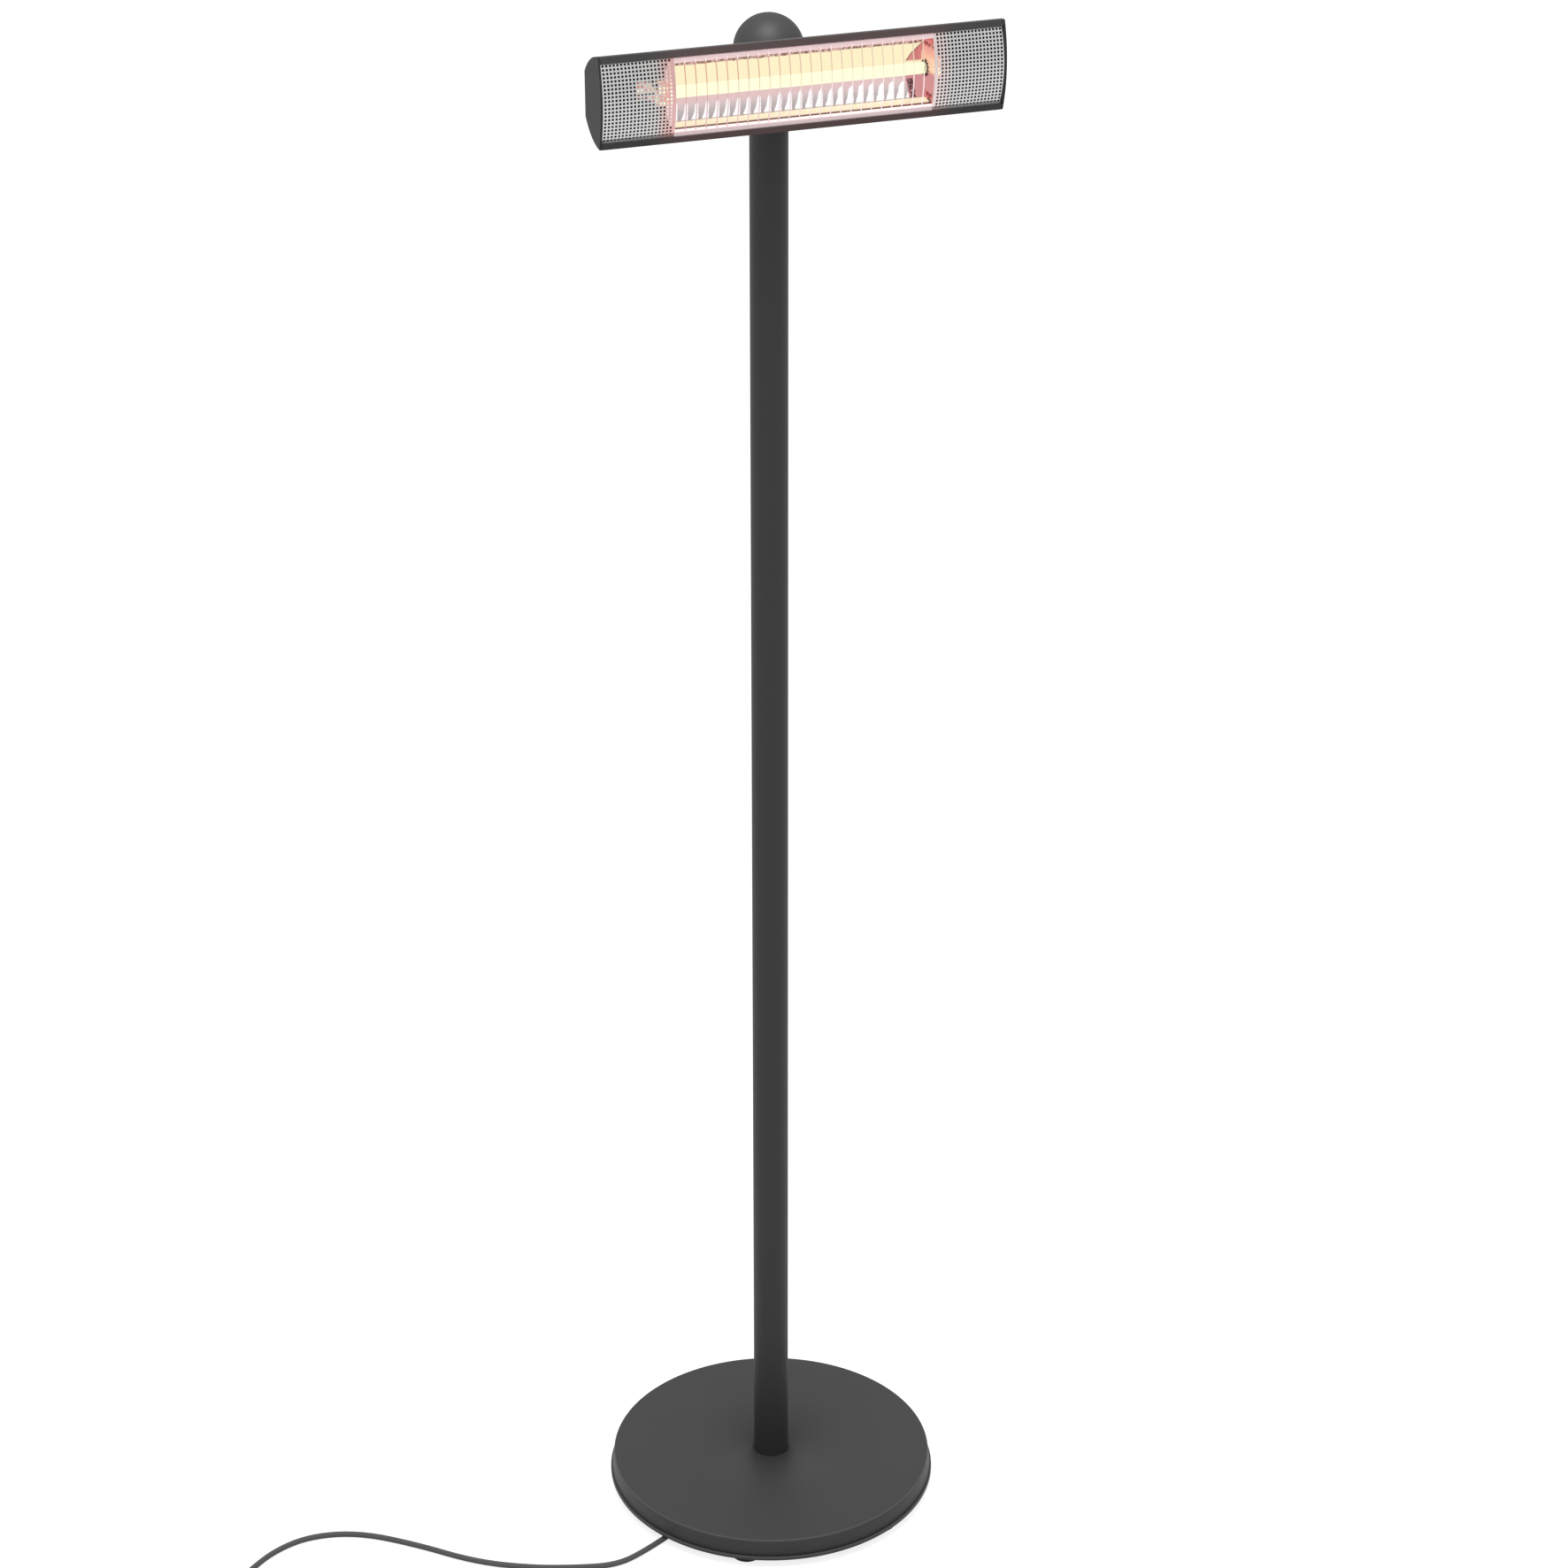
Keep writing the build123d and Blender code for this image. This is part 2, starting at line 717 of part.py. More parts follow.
def ball_zone(radius, latitude, bands, up=1):
    """Many-sided half ball, upwards or downwards from its middle to a latitude, in flat bands."""
    angles = [radians(latitude * i / bands) for i in range(bands + 1)]
    zone = []
    for start, end in zip(angles, angles[1:]):
        level = Plane(origin=(0, 0, ball_z + up * radius * sin(start)), z_dir=(0, 0, up))
        far = max(radius * cos(end), ball_crown)
        height = radius * (sin(end) - sin(start))
        zone.append(tapered_prism(level, ball_sides, radius * cos(start), far, height))
    return Part() + zone


def ball_prism(radius, low, high):
    """Many-sided disc about the pole's axis, its heights measured from the ball's centre."""
    return prism(ball_sides, radius, (0, 0, ball_z + low), (0, 0, ball_z + high))


def ball_lower():
    """Lower shell, closed round the pole, with a thin ring that stands up into the upper one."""
    inner = ball_radius - ball_wall
    pole_hole = around_round(ball_sides, pole_radius)
    shell = ball_zone(ball_radius, degrees(acos(pole_hole / ball_radius)), ball_bands // 2, -1)
    shell += ball_prism(ball_radius - ball_wall / 2, 0, ball_lap)
    hollow_end = degrees(acos((pole_hole + ball_wall) / inner))
    shell -= ball_zone(inner, hollow_end, ball_bands // 2, -1)
    shell -= ball_prism(inner, 0, ball_lap)
    return shell - ball_prism(pole_hole, -ball_radius, 0) - ball_slot()


def ball_upper():
    """Upper shell, relieved inside its rim for the lower one's ring."""
    shell = ball_zone(ball_radius, 90, ball_bands)
    shell -= ball_zone(ball_radius - ball_wall, 90, ball_bands // 2)
    shell -= ball_prism(ball_radius - ball_wall / 2 + slip, 0, ball_lap + slip)
    return shell - ball_slot()


# ---- tilt joint -------------------------------------------------------------------------
def on_hinge(x):
    return (x, 0, ball_z)


def hinge_stack():
    """X values along the bolt: washer, disc springs and nut outside the ears."""
    washer_end = ear_outer + washer_thickness
    spring_end = washer_end + disc_spring_height
    return washer_end, spring_end, spring_end + hinge_nut


def hinge_bolt():
    washer_end, _, nut_end = hinge_stack()
    head = prism(6, hinge_flats / sqrt(3), on_hinge(-washer_end - hinge_head), on_hinge(-washer_end))
    return head + rod(hinge_radius, on_hinge(-washer_end), on_hinge(nut_end + hinge_tip))


def hinge_nut_piece():
    _, spring_end, nut_end = hinge_stack()
    nut = prism(6, hinge_flats / sqrt(3), on_hinge(spring_end), on_hinge(nut_end))
    bore = around_round(small_sides, hinge_radius)
    return nut - prism(small_sides, bore, on_hinge(spring_end), on_hinge(nut_end))


def ring(outer, low, high):
    """Washer on the hinge bolt."""
    bore = around_round(small_sides, hinge_radius)
    disc = prism(small_sides, outer, on_hinge(low), on_hinge(high))
    return disc - prism(small_sides, bore, on_hinge(low), on_hinge(high))


def hinge_washers():
    washer_end, _, _ = hinge_stack()
    return group([ring(washer_radius, -washer_end, -ear_outer), ring(washer_radius, ear_outer, washer_end)])


def friction_washers():
    start = ear_inner - friction_thickness
    return group([ring(friction_radius, -ear_inner, -start), ring(friction_radius, start, ear_inner)])


def disc_springs():
    """Two cupped spring washers rim to rim, as one ring."""
    washer_end, spring_end, _ = hinge_stack()
    middle = on_hinge((washer_end + spring_end) / 2)
    face = disc_spring_radius - disc_spring_waist
    stack = Part()
    for direction in (-1, 1):
        plane = Plane(origin=middle, x_dir=(0, 1, 0), z_dir=(direction, 0, 0))
        stack += tapered_prism(plane, small_sides, disc_spring_radius, face, disc_spring_height / 2)
    bore = around_round(small_sides, hinge_radius)
    return stack - prism(small_sides, bore, on_hinge(washer_end), on_hinge(spring_end))


def tilt_arm():
    """Eye on the hinge bolt, hollow bar through the ball's slot and a flange on the head."""
    half = arm_height / 2
    flange_top_v = arm_flange_height / 2 - head_drop
    flange_low_v = flange_top_v - arm_flange_height
    outline = Polyline(
        (0, half),
        (-arm_flare_start, half),
        (-arm_seat, flange_top_v),
        (-arm_seat, flange_low_v + arm_flare_lift),
        (-arm_flare_start, -half),
        (0, -half),
        close=True,
    )
    half_width = arm_width / 2
    arm = along_x(hinge_plane * make_face(outline), -half_width, half_width)
    arm += prism(pole_sides, eye_radius, on_hinge(-half_width), on_hinge(half_width))
    arm += arm_flange_plate(arm_seat, head_back)
    for x, z in arm_bolt_places():
        arm -= bar(arm_bolt_radius + bolt_clearance, (x, -head_back, z), (x, -arm_seat, z))
    arm -= bar(arm_lead_bore, (0, -head_back, ball_z), (0, -head_lead_start, ball_z))
    mouth = (-head_lead_start - arm_lead_mouth, -head_lead_start)
    arm -= block((-arm_lead_bore, arm_lead_bore), mouth, (ball_z - arm_height, ball_z))
    return arm - rod(hinge_radius + running, on_hinge(-half_width), on_hinge(half_width))


def arm_flange_plate(near, far):
    """Plate with cut corners on the head's back, between two distances ahead of the pole's axis."""
    plane = Plane(origin=(0, -near, head_z), x_dir=(1, 0, 0), z_dir=(0, -1, 0))
    outline = Rectangle(arm_flange_width, arm_flange_height)
    outline = chamfer(outline.vertices(), arm_flange_corner)
    return extrude(plane * outline, amount=far - near)


def arm_bolt_places():
    half_x = arm_bolt_across / 2
    half_z = arm_bolt_up / 2
    return [(x, head_z + z) for x in (-half_x, half_x) for z in (-half_z, half_z)]


def arm_bolt(x, z):
    tip = wall_inside + backing_thickness
    return screw(arm_bolt_radius, arm_bolt_head_radius, arm_bolt_head, (x, -arm_seat, z), (x, -tip, z))


def backing_plate():
    far = wall_inside + backing_thickness
    plate = arm_flange_plate(wall_inside, far)
    for x, z in arm_bolt_places():
        plate -= bar(arm_bolt_radius, (x, -wall_inside, z), (x, -far, z))
    hole = grommet_lip + slip
    return plate - prism(small_sides, hole, (0, -wall_inside, ball_z), (0, -far, ball_z))


# ---- head shell -------------------------------------------------------------------------
def bulged(start, end, rise):
    """Arc between two points that stands out to the right of the way from start to end."""
    chord = Vector(*end) - Vector(*start)
    outward = Vector(chord.Y, -chord.X).normalized()
    middle = (Vector(*start) + Vector(*end)) * 0.5 + outward * rise
    return ThreePointArc(start, middle, end)


def head_face():
    """Side outline of the head, front towards -Y, drawn about the head's centre."""
    half_back = head_back_height / 2
    front_corners = [(-head_front, half_head), (-head_front, -half_head)]
    back_corners = [(-head_back, -half_back), (-head_back, half_back)]
    front = bulged(*front_corners, head_front_rise)
    low = bulged(front_corners[1], back_corners[0], head_side_rise)
    back = Line(*back_corners)
    high = bulged(back_corners[1], front_corners[0], head_side_rise)
    return make_face(Curve() + [front, low, back, high])


def sheet_band(outer, inner):
    """Part of a ring about the grille's axis, in front of that axis."""
    band = Pos(-sheet_axis, 0) * (Circle(outer) - Circle(inner))
    return band & Pos(-sheet_axis - sheet_radius, 0) * Rectangle(sheet_radius, 2 * half_head)


def beyond(half_height):
    """Both zones above and below a half-height."""
    zone = Rectangle(2 * head_front, half_head)
    middle = half_height + half_head / 2
    return (Pos(-head_front, middle) * zone) + (Pos(-head_front, -middle) * zone)


def housing_profile():
    outline = head_face()
    inside = offset(outline, amount=-head_wall, kind=Kind.INTERSECTION)
    lip_inner = half_head - lip_height
    walls = outline - inside - Pos(-head_front, 0) * Rectangle(2 * head_front_rise, 2 * lip_inner)
    before_sheet = outline & beyond(lip_inner)
    lips = before_sheet - Pos(-sheet_axis, 0) * Circle(sheet_radius)
    back_of_sheet = sheet_radius - sheet_thickness
    ribs = sheet_band(back_of_sheet, back_of_sheet - rib_thickness) & beyond(rib_inner) & outline
    return walls + lips + ribs


def sheet_edge_half():
    """Half-height of the sheet's edge inside its grooves."""
    return half_head - head_wall - 3 * slip


def housing():
    shell = along_x(head_plane * housing_profile(), -housing_half, housing_half)
    hole = arm_bolt_radius + bolt_clearance
    for x, z in arm_bolt_places():
        shell -= bar(hole, (x, -head_back, z), (x, -wall_inside, z))
    shell -= prism(small_sides, grommet_radius, (0, -head_back, ball_z), (0, -wall_inside, ball_z))
    shell -= switch_block(switch_width / 2 + slip, switch_height / 2 + slip, head_back, wall_inside)
    for x, z in cap_screw_places():
        shell -= bar(cap_screw_radius + bolt_clearance, (x, -head_back, z), (x, -wall_inside, z))
    return shell


def cap_screw_places():
    half_x = housing_half - cap_spigot_depth / 2
    half_z = cap_screw_spacing / 2
    return [(x, head_z + z) for x in (-half_x, half_x) for z in (-half_z, half_z)]


def end_cap(side):
    """Flat cap with a spigot inside the housing and two lugs for its screws."""
    outline = head_face()
    fit = head_wall + slip
    spigot = offset(outline, amount=-fit, kind=Kind.INTERSECTION)
    spigot -= offset(outline, amount=-fit - cap_spigot_wall, kind=Kind.INTERSECTION)
    spigot &= Pos(-cap_spigot_front / 2, 0) * Rectangle(cap_spigot_front, 2 * half_head)
    inner = side * housing_half
    outer = side * (housing_half + cap_thickness)
    deep = side * (housing_half - cap_spigot_depth)
    cap = along_x(head_plane * outline, min(inner, outer), max(inner, outer))
    cap += along_x(head_plane * spigot, min(inner, deep), max(inner, deep))
    lug_start = head_back + fit
    lug_end = lug_start + cap_spigot_wall + cap_screw_grip
    for x, z in cap_screw_places():
        if x * side > 0:
            cap += bar(cap_lug_radius, (x, -lug_start, z), (x, -lug_end, z))
            cap -= bar(cap_screw_radius, (x, -lug_start, z), (x, -lug_end, z))
    return cap


def cap_screw(x, z):
    tip = head_back + head_wall + slip + cap_spigot_wall + cap_screw_grip
    return screw(cap_screw_radius, cap_screw_head_radius, cap_screw_head, (x, -head_back, z), (x, -tip, z))


# ---- front grille -----------------------------------------------------------------------
def front_grille():
    edge = sheet_edge_half()
    band = sheet_band(sheet_radius, sheet_radius - sheet_thickness)
    band -= beyond(edge)
    sheet = along_x(head_plane * band, -sheet_half, sheet_half)
    front = (-2 * head_front, -sheet_axis)
    across = (-window_length / 2, window_length / 2)
    window = block(across, front, (head_z - window_height / 2, head_z + window_height / 2))
    punch = Pos(0, -sheet_radius, 0) * Box(hole_size, hole_punch, hole_size)
    holes = []
    for side in (-1, 1):
        for column in range(hole_columns):
            x = side * (sheet_half - hole_margin - column * hole_pitch)
            for row in range(hole_rows):
                angle = degrees((row - (hole_rows - 1) / 2) * hole_pitch / sheet_radius)
                holes.append(Pos(x, -sheet_axis, head_z) * Rot(angle, 0, 0) * punch)
    return sheet - window - holes


def guard_wires():
    """Upright wires that follow the sheet's curve against its back, each in a few straight runs."""
    reach = sheet_radius - sheet_thickness - wire_diameter / 2
    half_angle = asin(wire_half_height / reach)
    angles = [half_angle * (2 * i / wire_runs - 1) for i in range(wire_runs + 1)]
    points = [(0, -sheet_axis - reach * cos(t), head_z + reach * sin(t)) for t in angles]
    path = Polyline(*points)
    section = Plane(origin=path @ 0, x_dir=(1, 0, 0), z_dir=path % 0)
    outline = RegularPolygon(wire_diameter / 2, 4)
    wire = sweep(section * outline, path=path, transition=Transition.RIGHT)
    first = -(wire_count - 1) / 2 * wire_pitch
    return group(Pos(first + i * wire_pitch, 0, 0) * wire for i in range(wire_count))


# ---- reflector and lamp -----------------------------------------------------------------
def trough_inside():
    """Inside of the bent reflector, run on past its mouth to the guard wires."""
    upper = [
        (-reflector_back, reflector_back_half),
        (-reflector_knee, reflector_knee_half),
        (-mouth_forward(), reflector_mouth_half),
        (-sheet_axis - flange_band_radius(), reflector_mouth_half),
    ]
    lower = [(y, -z) for y, z in reversed(upper)]
    return make_face(Polyline(*upper, *lower, close=True))


def trough_outside():
    return offset(trough_inside(), amount=reflector_sheet, kind=Kind.INTERSECTION)


def behind_wires(profile):
    """The part of a profile that stays behind the guard wires."""
    band = flange_band_radius()
    return profile - Pos(-sheet_axis, 0) * (Circle(2 * band) - Circle(band))


def mouth_forward():
    """The trough's mouth meets the flange that follows the sheet's curve."""
    inner = flange_band_radius() - reflector_sheet / 2
    return sheet_axis + sqrt(inner**2 - reflector_mouth_half**2)


def flange_band_radius():
    return sheet_radius - sheet_thickness - rib_thickness


def reflector():
    band = flange_band_radius()
    flange = sheet_band(band, band - reflector_sheet) & beyond(reflector_mouth_half)
    flange -= beyond(reflector_flange_half)
    profile = behind_wires(trough_outside()) - trough_inside() + flange
    return along_x(head_plane * profile, -reflector_half_length, reflector_half_length)


def reflector_end(side):
    """Sheet that closes the reflector's end, with a hole for the lamp's tube."""
    hole = RegularPolygon(around_round(small_sides, end_plate_hole), small_sides)
    face = trough_outside() - Pos(-tube_forward, 0) * hole
    face -= Pos(-mouth_forward() - head_front_rise, 0) * Rectangle(2 * head_front_rise, head_height)
    inner = side * reflector_half_length
    outer = side * (reflector_half_length + end_plate_thickness)
    return along_x(head_plane * face, min(inner, outer), max(inner, outer))


def on_tube(x):
    return (x, -tube_forward, head_z)


def quartz_tube():
    hollow = tube_half_length - tube_seal
    tube = prism(pole_sides, tube_radius, on_tube(-tube_half_length), on_tube(tube_half_length))
    return tube - prism(pole_sides, tube_radius - tube_wall, on_tube(-hollow), on_tube(hollow))


def filament():
    return bar(filament_radius, on_tube(-filament_half_length), on_tube(filament_half_length))


def lamp_spring(side):
    """Short coil spring round the tube's end, kept as its outer sleeve."""
    near = on_tube(side * (reflector_half_length - spring_length))
    far = on_tube(side * reflector_half_length)
    sleeve = prism(small_sides, spring_radius, near, far)
    return sleeve - prism(small_sides, spring_radius - spring_wire, near, far)


def lamp_holder(side):
    """Ceramic block with a blind seat for the tube's end."""
    near = side * holder_start
    far = side * (holder_start + holder_length)
    middle = -tube_forward
    holder = block(
        (min(near, far), max(near, far)),
        (middle - holder_width / 2, middle + holder_width / 2),
        (head_z - holder_height / 2, head_z + holder_height / 2),
    )
    holder = chamfer(holder.edges().filter_by(Axis.X), holder_corner)
    seat = around_round(small_sides, tube_radius + slip)
    return holder - prism(small_sides, seat, on_tube(near), on_tube(side * (tube_half_length + slip)))


def holder_bracket(side):
    """Folded sheet: a foot on the housing's back wall and a leaf that carries the holder."""
    near = side * bracket_start
    far = side * (bracket_start + bracket_thickness)
    foot_far = side * (bracket_start + bracket_foot)
    height = (head_z - bracket_height / 2, head_z + bracket_height / 2)
    leaf = block((min(near, far), max(near, far)), (-bracket_front, -wall_inside), height)
    foot_depth = (-wall_inside - bracket_thickness, -wall_inside)
    foot = block((min(near, foot_far), max(near, foot_far)), foot_depth, height)
    hole = head_lead_diameter / 2 + lead_hole_gap
    return leaf + foot - bar(hole, (near, -head_lead_depth, ball_z), (far, -head_lead_depth, ball_z))


# ---- electric pieces in the head --------------------------------------------------------
def lead_grommet():
    outside = (0, -head_back, ball_z)
    wall = (0, -wall_inside, ball_z)
    lip = (0, -wall_inside - grommet_lip_thickness, ball_z)
    body = prism(small_sides, grommet_radius, outside, wall) + prism(small_sides, grommet_lip, wall, lip)
    return body - bar(head_lead_diameter / 2, outside, lip)


def head_lead():
    """Lead from the arm's bore through the grommet to the switch."""
    start = (0, -head_lead_start, ball_z)
    corner = (0, -head_lead_depth, ball_z)
    end = (switch_place - switch_width / 2, -head_lead_depth, ball_z)
    return lead(head_lead_diameter / 2, [start, corner, end], lead_bend)


def terminal_block():
    across = (terminal_place - terminal_width / 2, terminal_place + terminal_width / 2)
    body = block(across, (-wall_inside - terminal_depth, -wall_inside), (head_z - terminal_height, head_z))
    return chamfer(body.edges().filter_by(Axis.X), terminal_corner)


def lamp_leads():
    """Wires from the lamp's two ends and from the switch to the terminal block."""
    face_x = terminal_place - terminal_width / 2
    face_y = -wall_inside - terminal_depth
    holder_far = bracket_start + bracket_thickness
    behind = -wall_inside - backing_thickness - wire_lead_diameter
    low = head_z - bracket_height / 2 - 2 * wire_lead_diameter
    outside = -holder_far - wire_lead_reach
    left = [
        (-holder_far, -tube_forward, head_z),
        (outside, -tube_forward, head_z),
        (outside, behind, low),
        (face_x, behind, low),
    ]
    level = head_z - terminal_height / 2
    right = [
        (holder_far, -tube_forward, level),
        (terminal_place, -tube_forward, level),
        (terminal_place, face_y, level),
    ]
    level = head_z - 2 * wire_lead_diameter
    loop = face_y - wire_lead_reach
    switch = [
        (switch_place, -head_back - switch_depth, level),
        (switch_place, loop, level),
        (face_x + 2 * wire_lead_diameter, loop, level),
        (face_x + 2 * wire_lead_diameter, face_y, level),
    ]
    radius = wire_lead_diameter / 2
    return group(lead(radius, points, lead_bend) for points in (left, right, switch))


def switch_block(half_x, half_z, near, far):
    """Block in the back wall at the switch, between two distances ahead of the pole's axis."""
    across = (switch_place - half_x, switch_place + half_x)
    return block(across, (-far, -near), (head_z - half_z, head_z + half_z))


def rocker_pivot():
    return Vector(switch_place, -head_back + switch_bezel - rocker_pivot_depth, head_z)


def switch_frame():
    frame = switch_block(switch_width / 2, switch_height / 2, head_back, head_back + switch_depth)
    half_x = switch_width / 2 + switch_bezel_border
    half_z = switch_height / 2 + switch_bezel_border
    bezel = switch_block(half_x, half_z, head_back - switch_bezel, head_back)
    frame += chamfer(bezel.edges().group_by(Axis.Y)[-1], switch_bezel_edge)
    pivot = rocker_pivot()
    half_x = rocker_width / 2 + swing
    half_z = rocker_height / 2 + rocker_end_gap
    frame -= switch_block(half_x, half_z, head_back - switch_bezel, -pivot.Y + rocker_room)
    pin = around_round(small_sides, rocker_pin_radius + running)
    reach = Vector(rocker_width / 2 + rocker_pin_length + swing, 0, 0)
    return frame - prism(small_sides, pin, pivot - reach, pivot + reach)


def rocker():
    """Rocker in its resting place, tipped about its pins."""
    pivot = rocker_pivot()
    half = rocker_height / 2
    face = Polyline((-rocker_back, half), (-rocker_back, -half), (rocker_face, -half), close=False)
    dip = ThreePointArc((rocker_face, -half), (rocker_face - rocker_dip, 0), (rocker_face, half))
    top = Line((rocker_face, half), (-rocker_back, half))
    outline = make_face(Curve() + [face, dip, top])
    plane = Plane(origin=pivot, x_dir=(0, 1, 0), z_dir=(1, 0, 0))
    body = extrude(plane * outline, amount=rocker_width / 2, both=True)
    reach = Vector(rocker_width / 2 + rocker_pin_length, 0, 0)
    body += prism(small_sides, rocker_pin_radius, pivot - reach, pivot + reach)
    return body.rotate(Axis(pivot, (1, 0, 0)), -rocker_tip)


# ---- the whole tower --------------------------------------------------------------------
def sub_parts():
    return {
        "base_plate": base_plate(),
        "base_cover": base_cover(),
        "base_weight": base_weight(),
        "rubber_feet": group(rubber_foot(x, y) for x, y in foot_places),
        "foot_screws": group(foot_screw(x, y) for x, y in foot_places),
        "pole_flange": pole_flange(),
        "flange_bolts": group(flange_bolt(x, y) for x, y in bolt_places),
        "tip_over_switch": tip_over_switch(),
        "tip_switch_screws": group(tip_switch_screw(x, y) for x, y in tip_screw_places()),
        "cable_gland": cable_gland(),
        "gland_screws": group(gland_screw(x, y) for x, y in gland_screw_places()),
        "cord_boot": cord_boot(),
        "mains_cord": mains_cord(),
        "cord_coil": cord_coil(),
        "coil_tie": coil_tie(),
        "plug_body": plug_body(),
        "plug_pins": plug_pins(),
        "supply_lead": supply_lead(),
        "pole": pole(),
        "hinge_yoke": hinge_yoke(),
        "ball_lower": ball_lower(),
        "ball_upper": ball_upper(),
        "hinge_bolt": hinge_bolt(),
        "hinge_nut": hinge_nut_piece(),
        "hinge_washers": hinge_washers(),
        "friction_washers": friction_washers(),
        "disc_springs": disc_springs(),
        "tilt_arm": tilt_arm(),
        "arm_bolts": group(arm_bolt(x, z) for x, z in arm_bolt_places()),
        "backing_plate": backing_plate(),
        "housing": housing(),
        "end_cap_left": end_cap(-1),
        "end_cap_right": end_cap(1),
        "cap_screws": group(cap_screw(x, z) for x, z in cap_screw_places()),
        "front_grille": front_grille(),
        "guard_wires": guard_wires(),
        "reflector": reflector(),
        "reflector_end_left": reflector_end(-1),
        "reflector_end_right": reflector_end(1),
        "quartz_tube": quartz_tube(),
        "filament": filament(),
        "lamp_spring_left": lamp_spring(-1),
        "lamp_spring_right": lamp_spring(1),
        "lamp_holder_left": lamp_holder(-1),
        "lamp_holder_right": lamp_holder(1),
        "holder_bracket_left": holder_bracket(-1),
        "holder_bracket_right": holder_bracket(1),
        "lead_grommet": lead_grommet(),
        "head_lead": head_lead(),
        "terminal_block": terminal_block(),
        "lamp_leads": lamp_leads(),
        "switch_frame": switch_frame(),
        "rocker": rocker(),
    }


def main():
    os.makedirs("parts", exist_ok=True)
    for name, shape in sub_parts().items():
        export_step(shape, f"parts/{name}.step")


main()
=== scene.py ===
from math import asin, atan2, ceil, cos, pi, radians, sin, sqrt

import bmesh
import bpy
from mathutils import Matrix, Vector


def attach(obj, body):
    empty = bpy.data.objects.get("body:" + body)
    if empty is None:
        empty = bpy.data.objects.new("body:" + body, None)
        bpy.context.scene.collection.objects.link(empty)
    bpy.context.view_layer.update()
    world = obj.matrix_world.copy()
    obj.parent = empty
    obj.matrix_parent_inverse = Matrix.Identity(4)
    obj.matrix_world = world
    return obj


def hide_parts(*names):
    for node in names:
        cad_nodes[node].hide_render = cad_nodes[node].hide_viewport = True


# Infrared patio heater tower, dressed over its frame. Metres, +Z up, the floor at z 0.
# The heater head faces -Y and its length runs along X.

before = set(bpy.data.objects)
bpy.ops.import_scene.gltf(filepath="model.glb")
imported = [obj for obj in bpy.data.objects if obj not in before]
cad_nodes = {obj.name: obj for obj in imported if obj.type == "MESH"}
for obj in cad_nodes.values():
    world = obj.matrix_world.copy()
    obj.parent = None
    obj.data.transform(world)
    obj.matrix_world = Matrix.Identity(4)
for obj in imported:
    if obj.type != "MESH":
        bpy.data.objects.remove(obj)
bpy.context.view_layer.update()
MM = 0.001

# ---- photograph's camera
CAMERA_PLACE = (-1.5792, -4.3004, 3.2661)
CAMERA_TURN = (64.570, 0.0, -20.395)  # degrees
CAMERA_LENS = 88.83
CAMERA_SENSOR = 36.0  # square

# ---- light
WORLD_LIGHT = 0.75  # what lights the object; the camera sees plain white
FLOOR_GREY = 0.42
FLOOR_LIFT = 0.79  # brings the lit floor up to white, its shadow to pale grey
LAMP_SIZE = 1.6
LAMP_POWER = 60.0
LAMP_PLACE = (-0.5, -1.0, 5.0)

# ---- base, in millimetres as in the solids
PLATE_RADIUS = 228.6
PLATE_LOW = 12.0
PLATE_TOP = 18.0
PLATE_BORE = 5.5
COVER_BOTTOM = 226.3
COVER_TOP = 223.75
COVER_TOP_Z = 42.4
COVER_BEND = 2.2
POLE_RADIUS = 24.0
POLE_LOW = 28.0
POLE_TOP = 2037.2
POLE_WALL = 1.5
FOOT_COUNT = 6
FOOT_RING = 198.5
FOOT_RADIUS = 21.5
FOOT_RECESS = 6.0

# ---- ball and head
BALL_RADIUS = 43.2
BALL_WALL = 3.0
BALL_Z = 2067.2
BALL_FOOT = -56.2  # latitudes of the shell's two ends, in degrees
BALL_CROWN = 89.9
SLOT_HALF = 7.0
SLOT_DOWN = 46.7  # degrees that the arm's slot reaches below and above
SLOT_UP = 21.7
HEAD_Z = 2054.7
HEAD_HALF = 55.0
HEAD_FRONT = -123.3
HEAD_BACK = -71.2
HEAD_BACK_HALF = 27.15
FRONT_RISE = 9.5
SIDE_RISE = 6.4
HOUSING_HALF = 252.5
CAP_THICKNESS = 2.5
WALL = 2.0
LIP_INNER = 47.5
SHEET_RADIUS = 120.0
SHEET_AXIS = -10.88
SHEET_THICKNESS = 0.8
SHEET_HALF = 252.1
SHEET_EDGE = 52.4
WINDOW_HALF = 162.5
WINDOW_HALF_HEIGHT = 40.0
WINDOW_ROLL = 2.4
HOLE_PITCH = 4.5
HOLE_SIZE = 2.75
HOLE_CORNER = 0.35
HOLE_COLUMNS = 19
HOLE_ROWS = 21
FIRST_COLUMN = 248.9
WIRE_COUNT = 24
WIRE_PITCH = 13.0
WIRE_RADIUS = 0.62
TUBE_Y = -103.0
TUBE_RADIUS = 7.0
TUBE_HALF = 172.0
TUBE_SEAL = 12.0
TROUGH_HALF = 162.0
TROUGH_SHEET = 0.8
TROUGH = [(-88.0, 15.0), (-101.5, 35.6), (-120.3, 40.0)]
TROUGH_FRONT = 118.7  # radius of its ends' front edge, just behind the sheet
TROUGH_BORE = 8.6
ARM_BOLT_PLACES = (27.0, -66.2, 15.0)
CAP_SCREW_PLACES = (246.5, -71.2, 14.0)
REFLECTION_TOP = -14.5  # heights of the wires' painted reflections, shaped like flames, on the trough, from the head's middle
REFLECTION_FOOT = -35.4
REFLECTION_LEAN = 0.45  # part of a pitch that a painted wire reflection leans over as it falls
CORNER_START = 141.5  # where the painted reflection of the right end plate starts on the trough
ROCKER_PIVOT = (200.0, -71.5, HEAD_Z)
ROCKER_TILT = -10.0  # degrees at rest

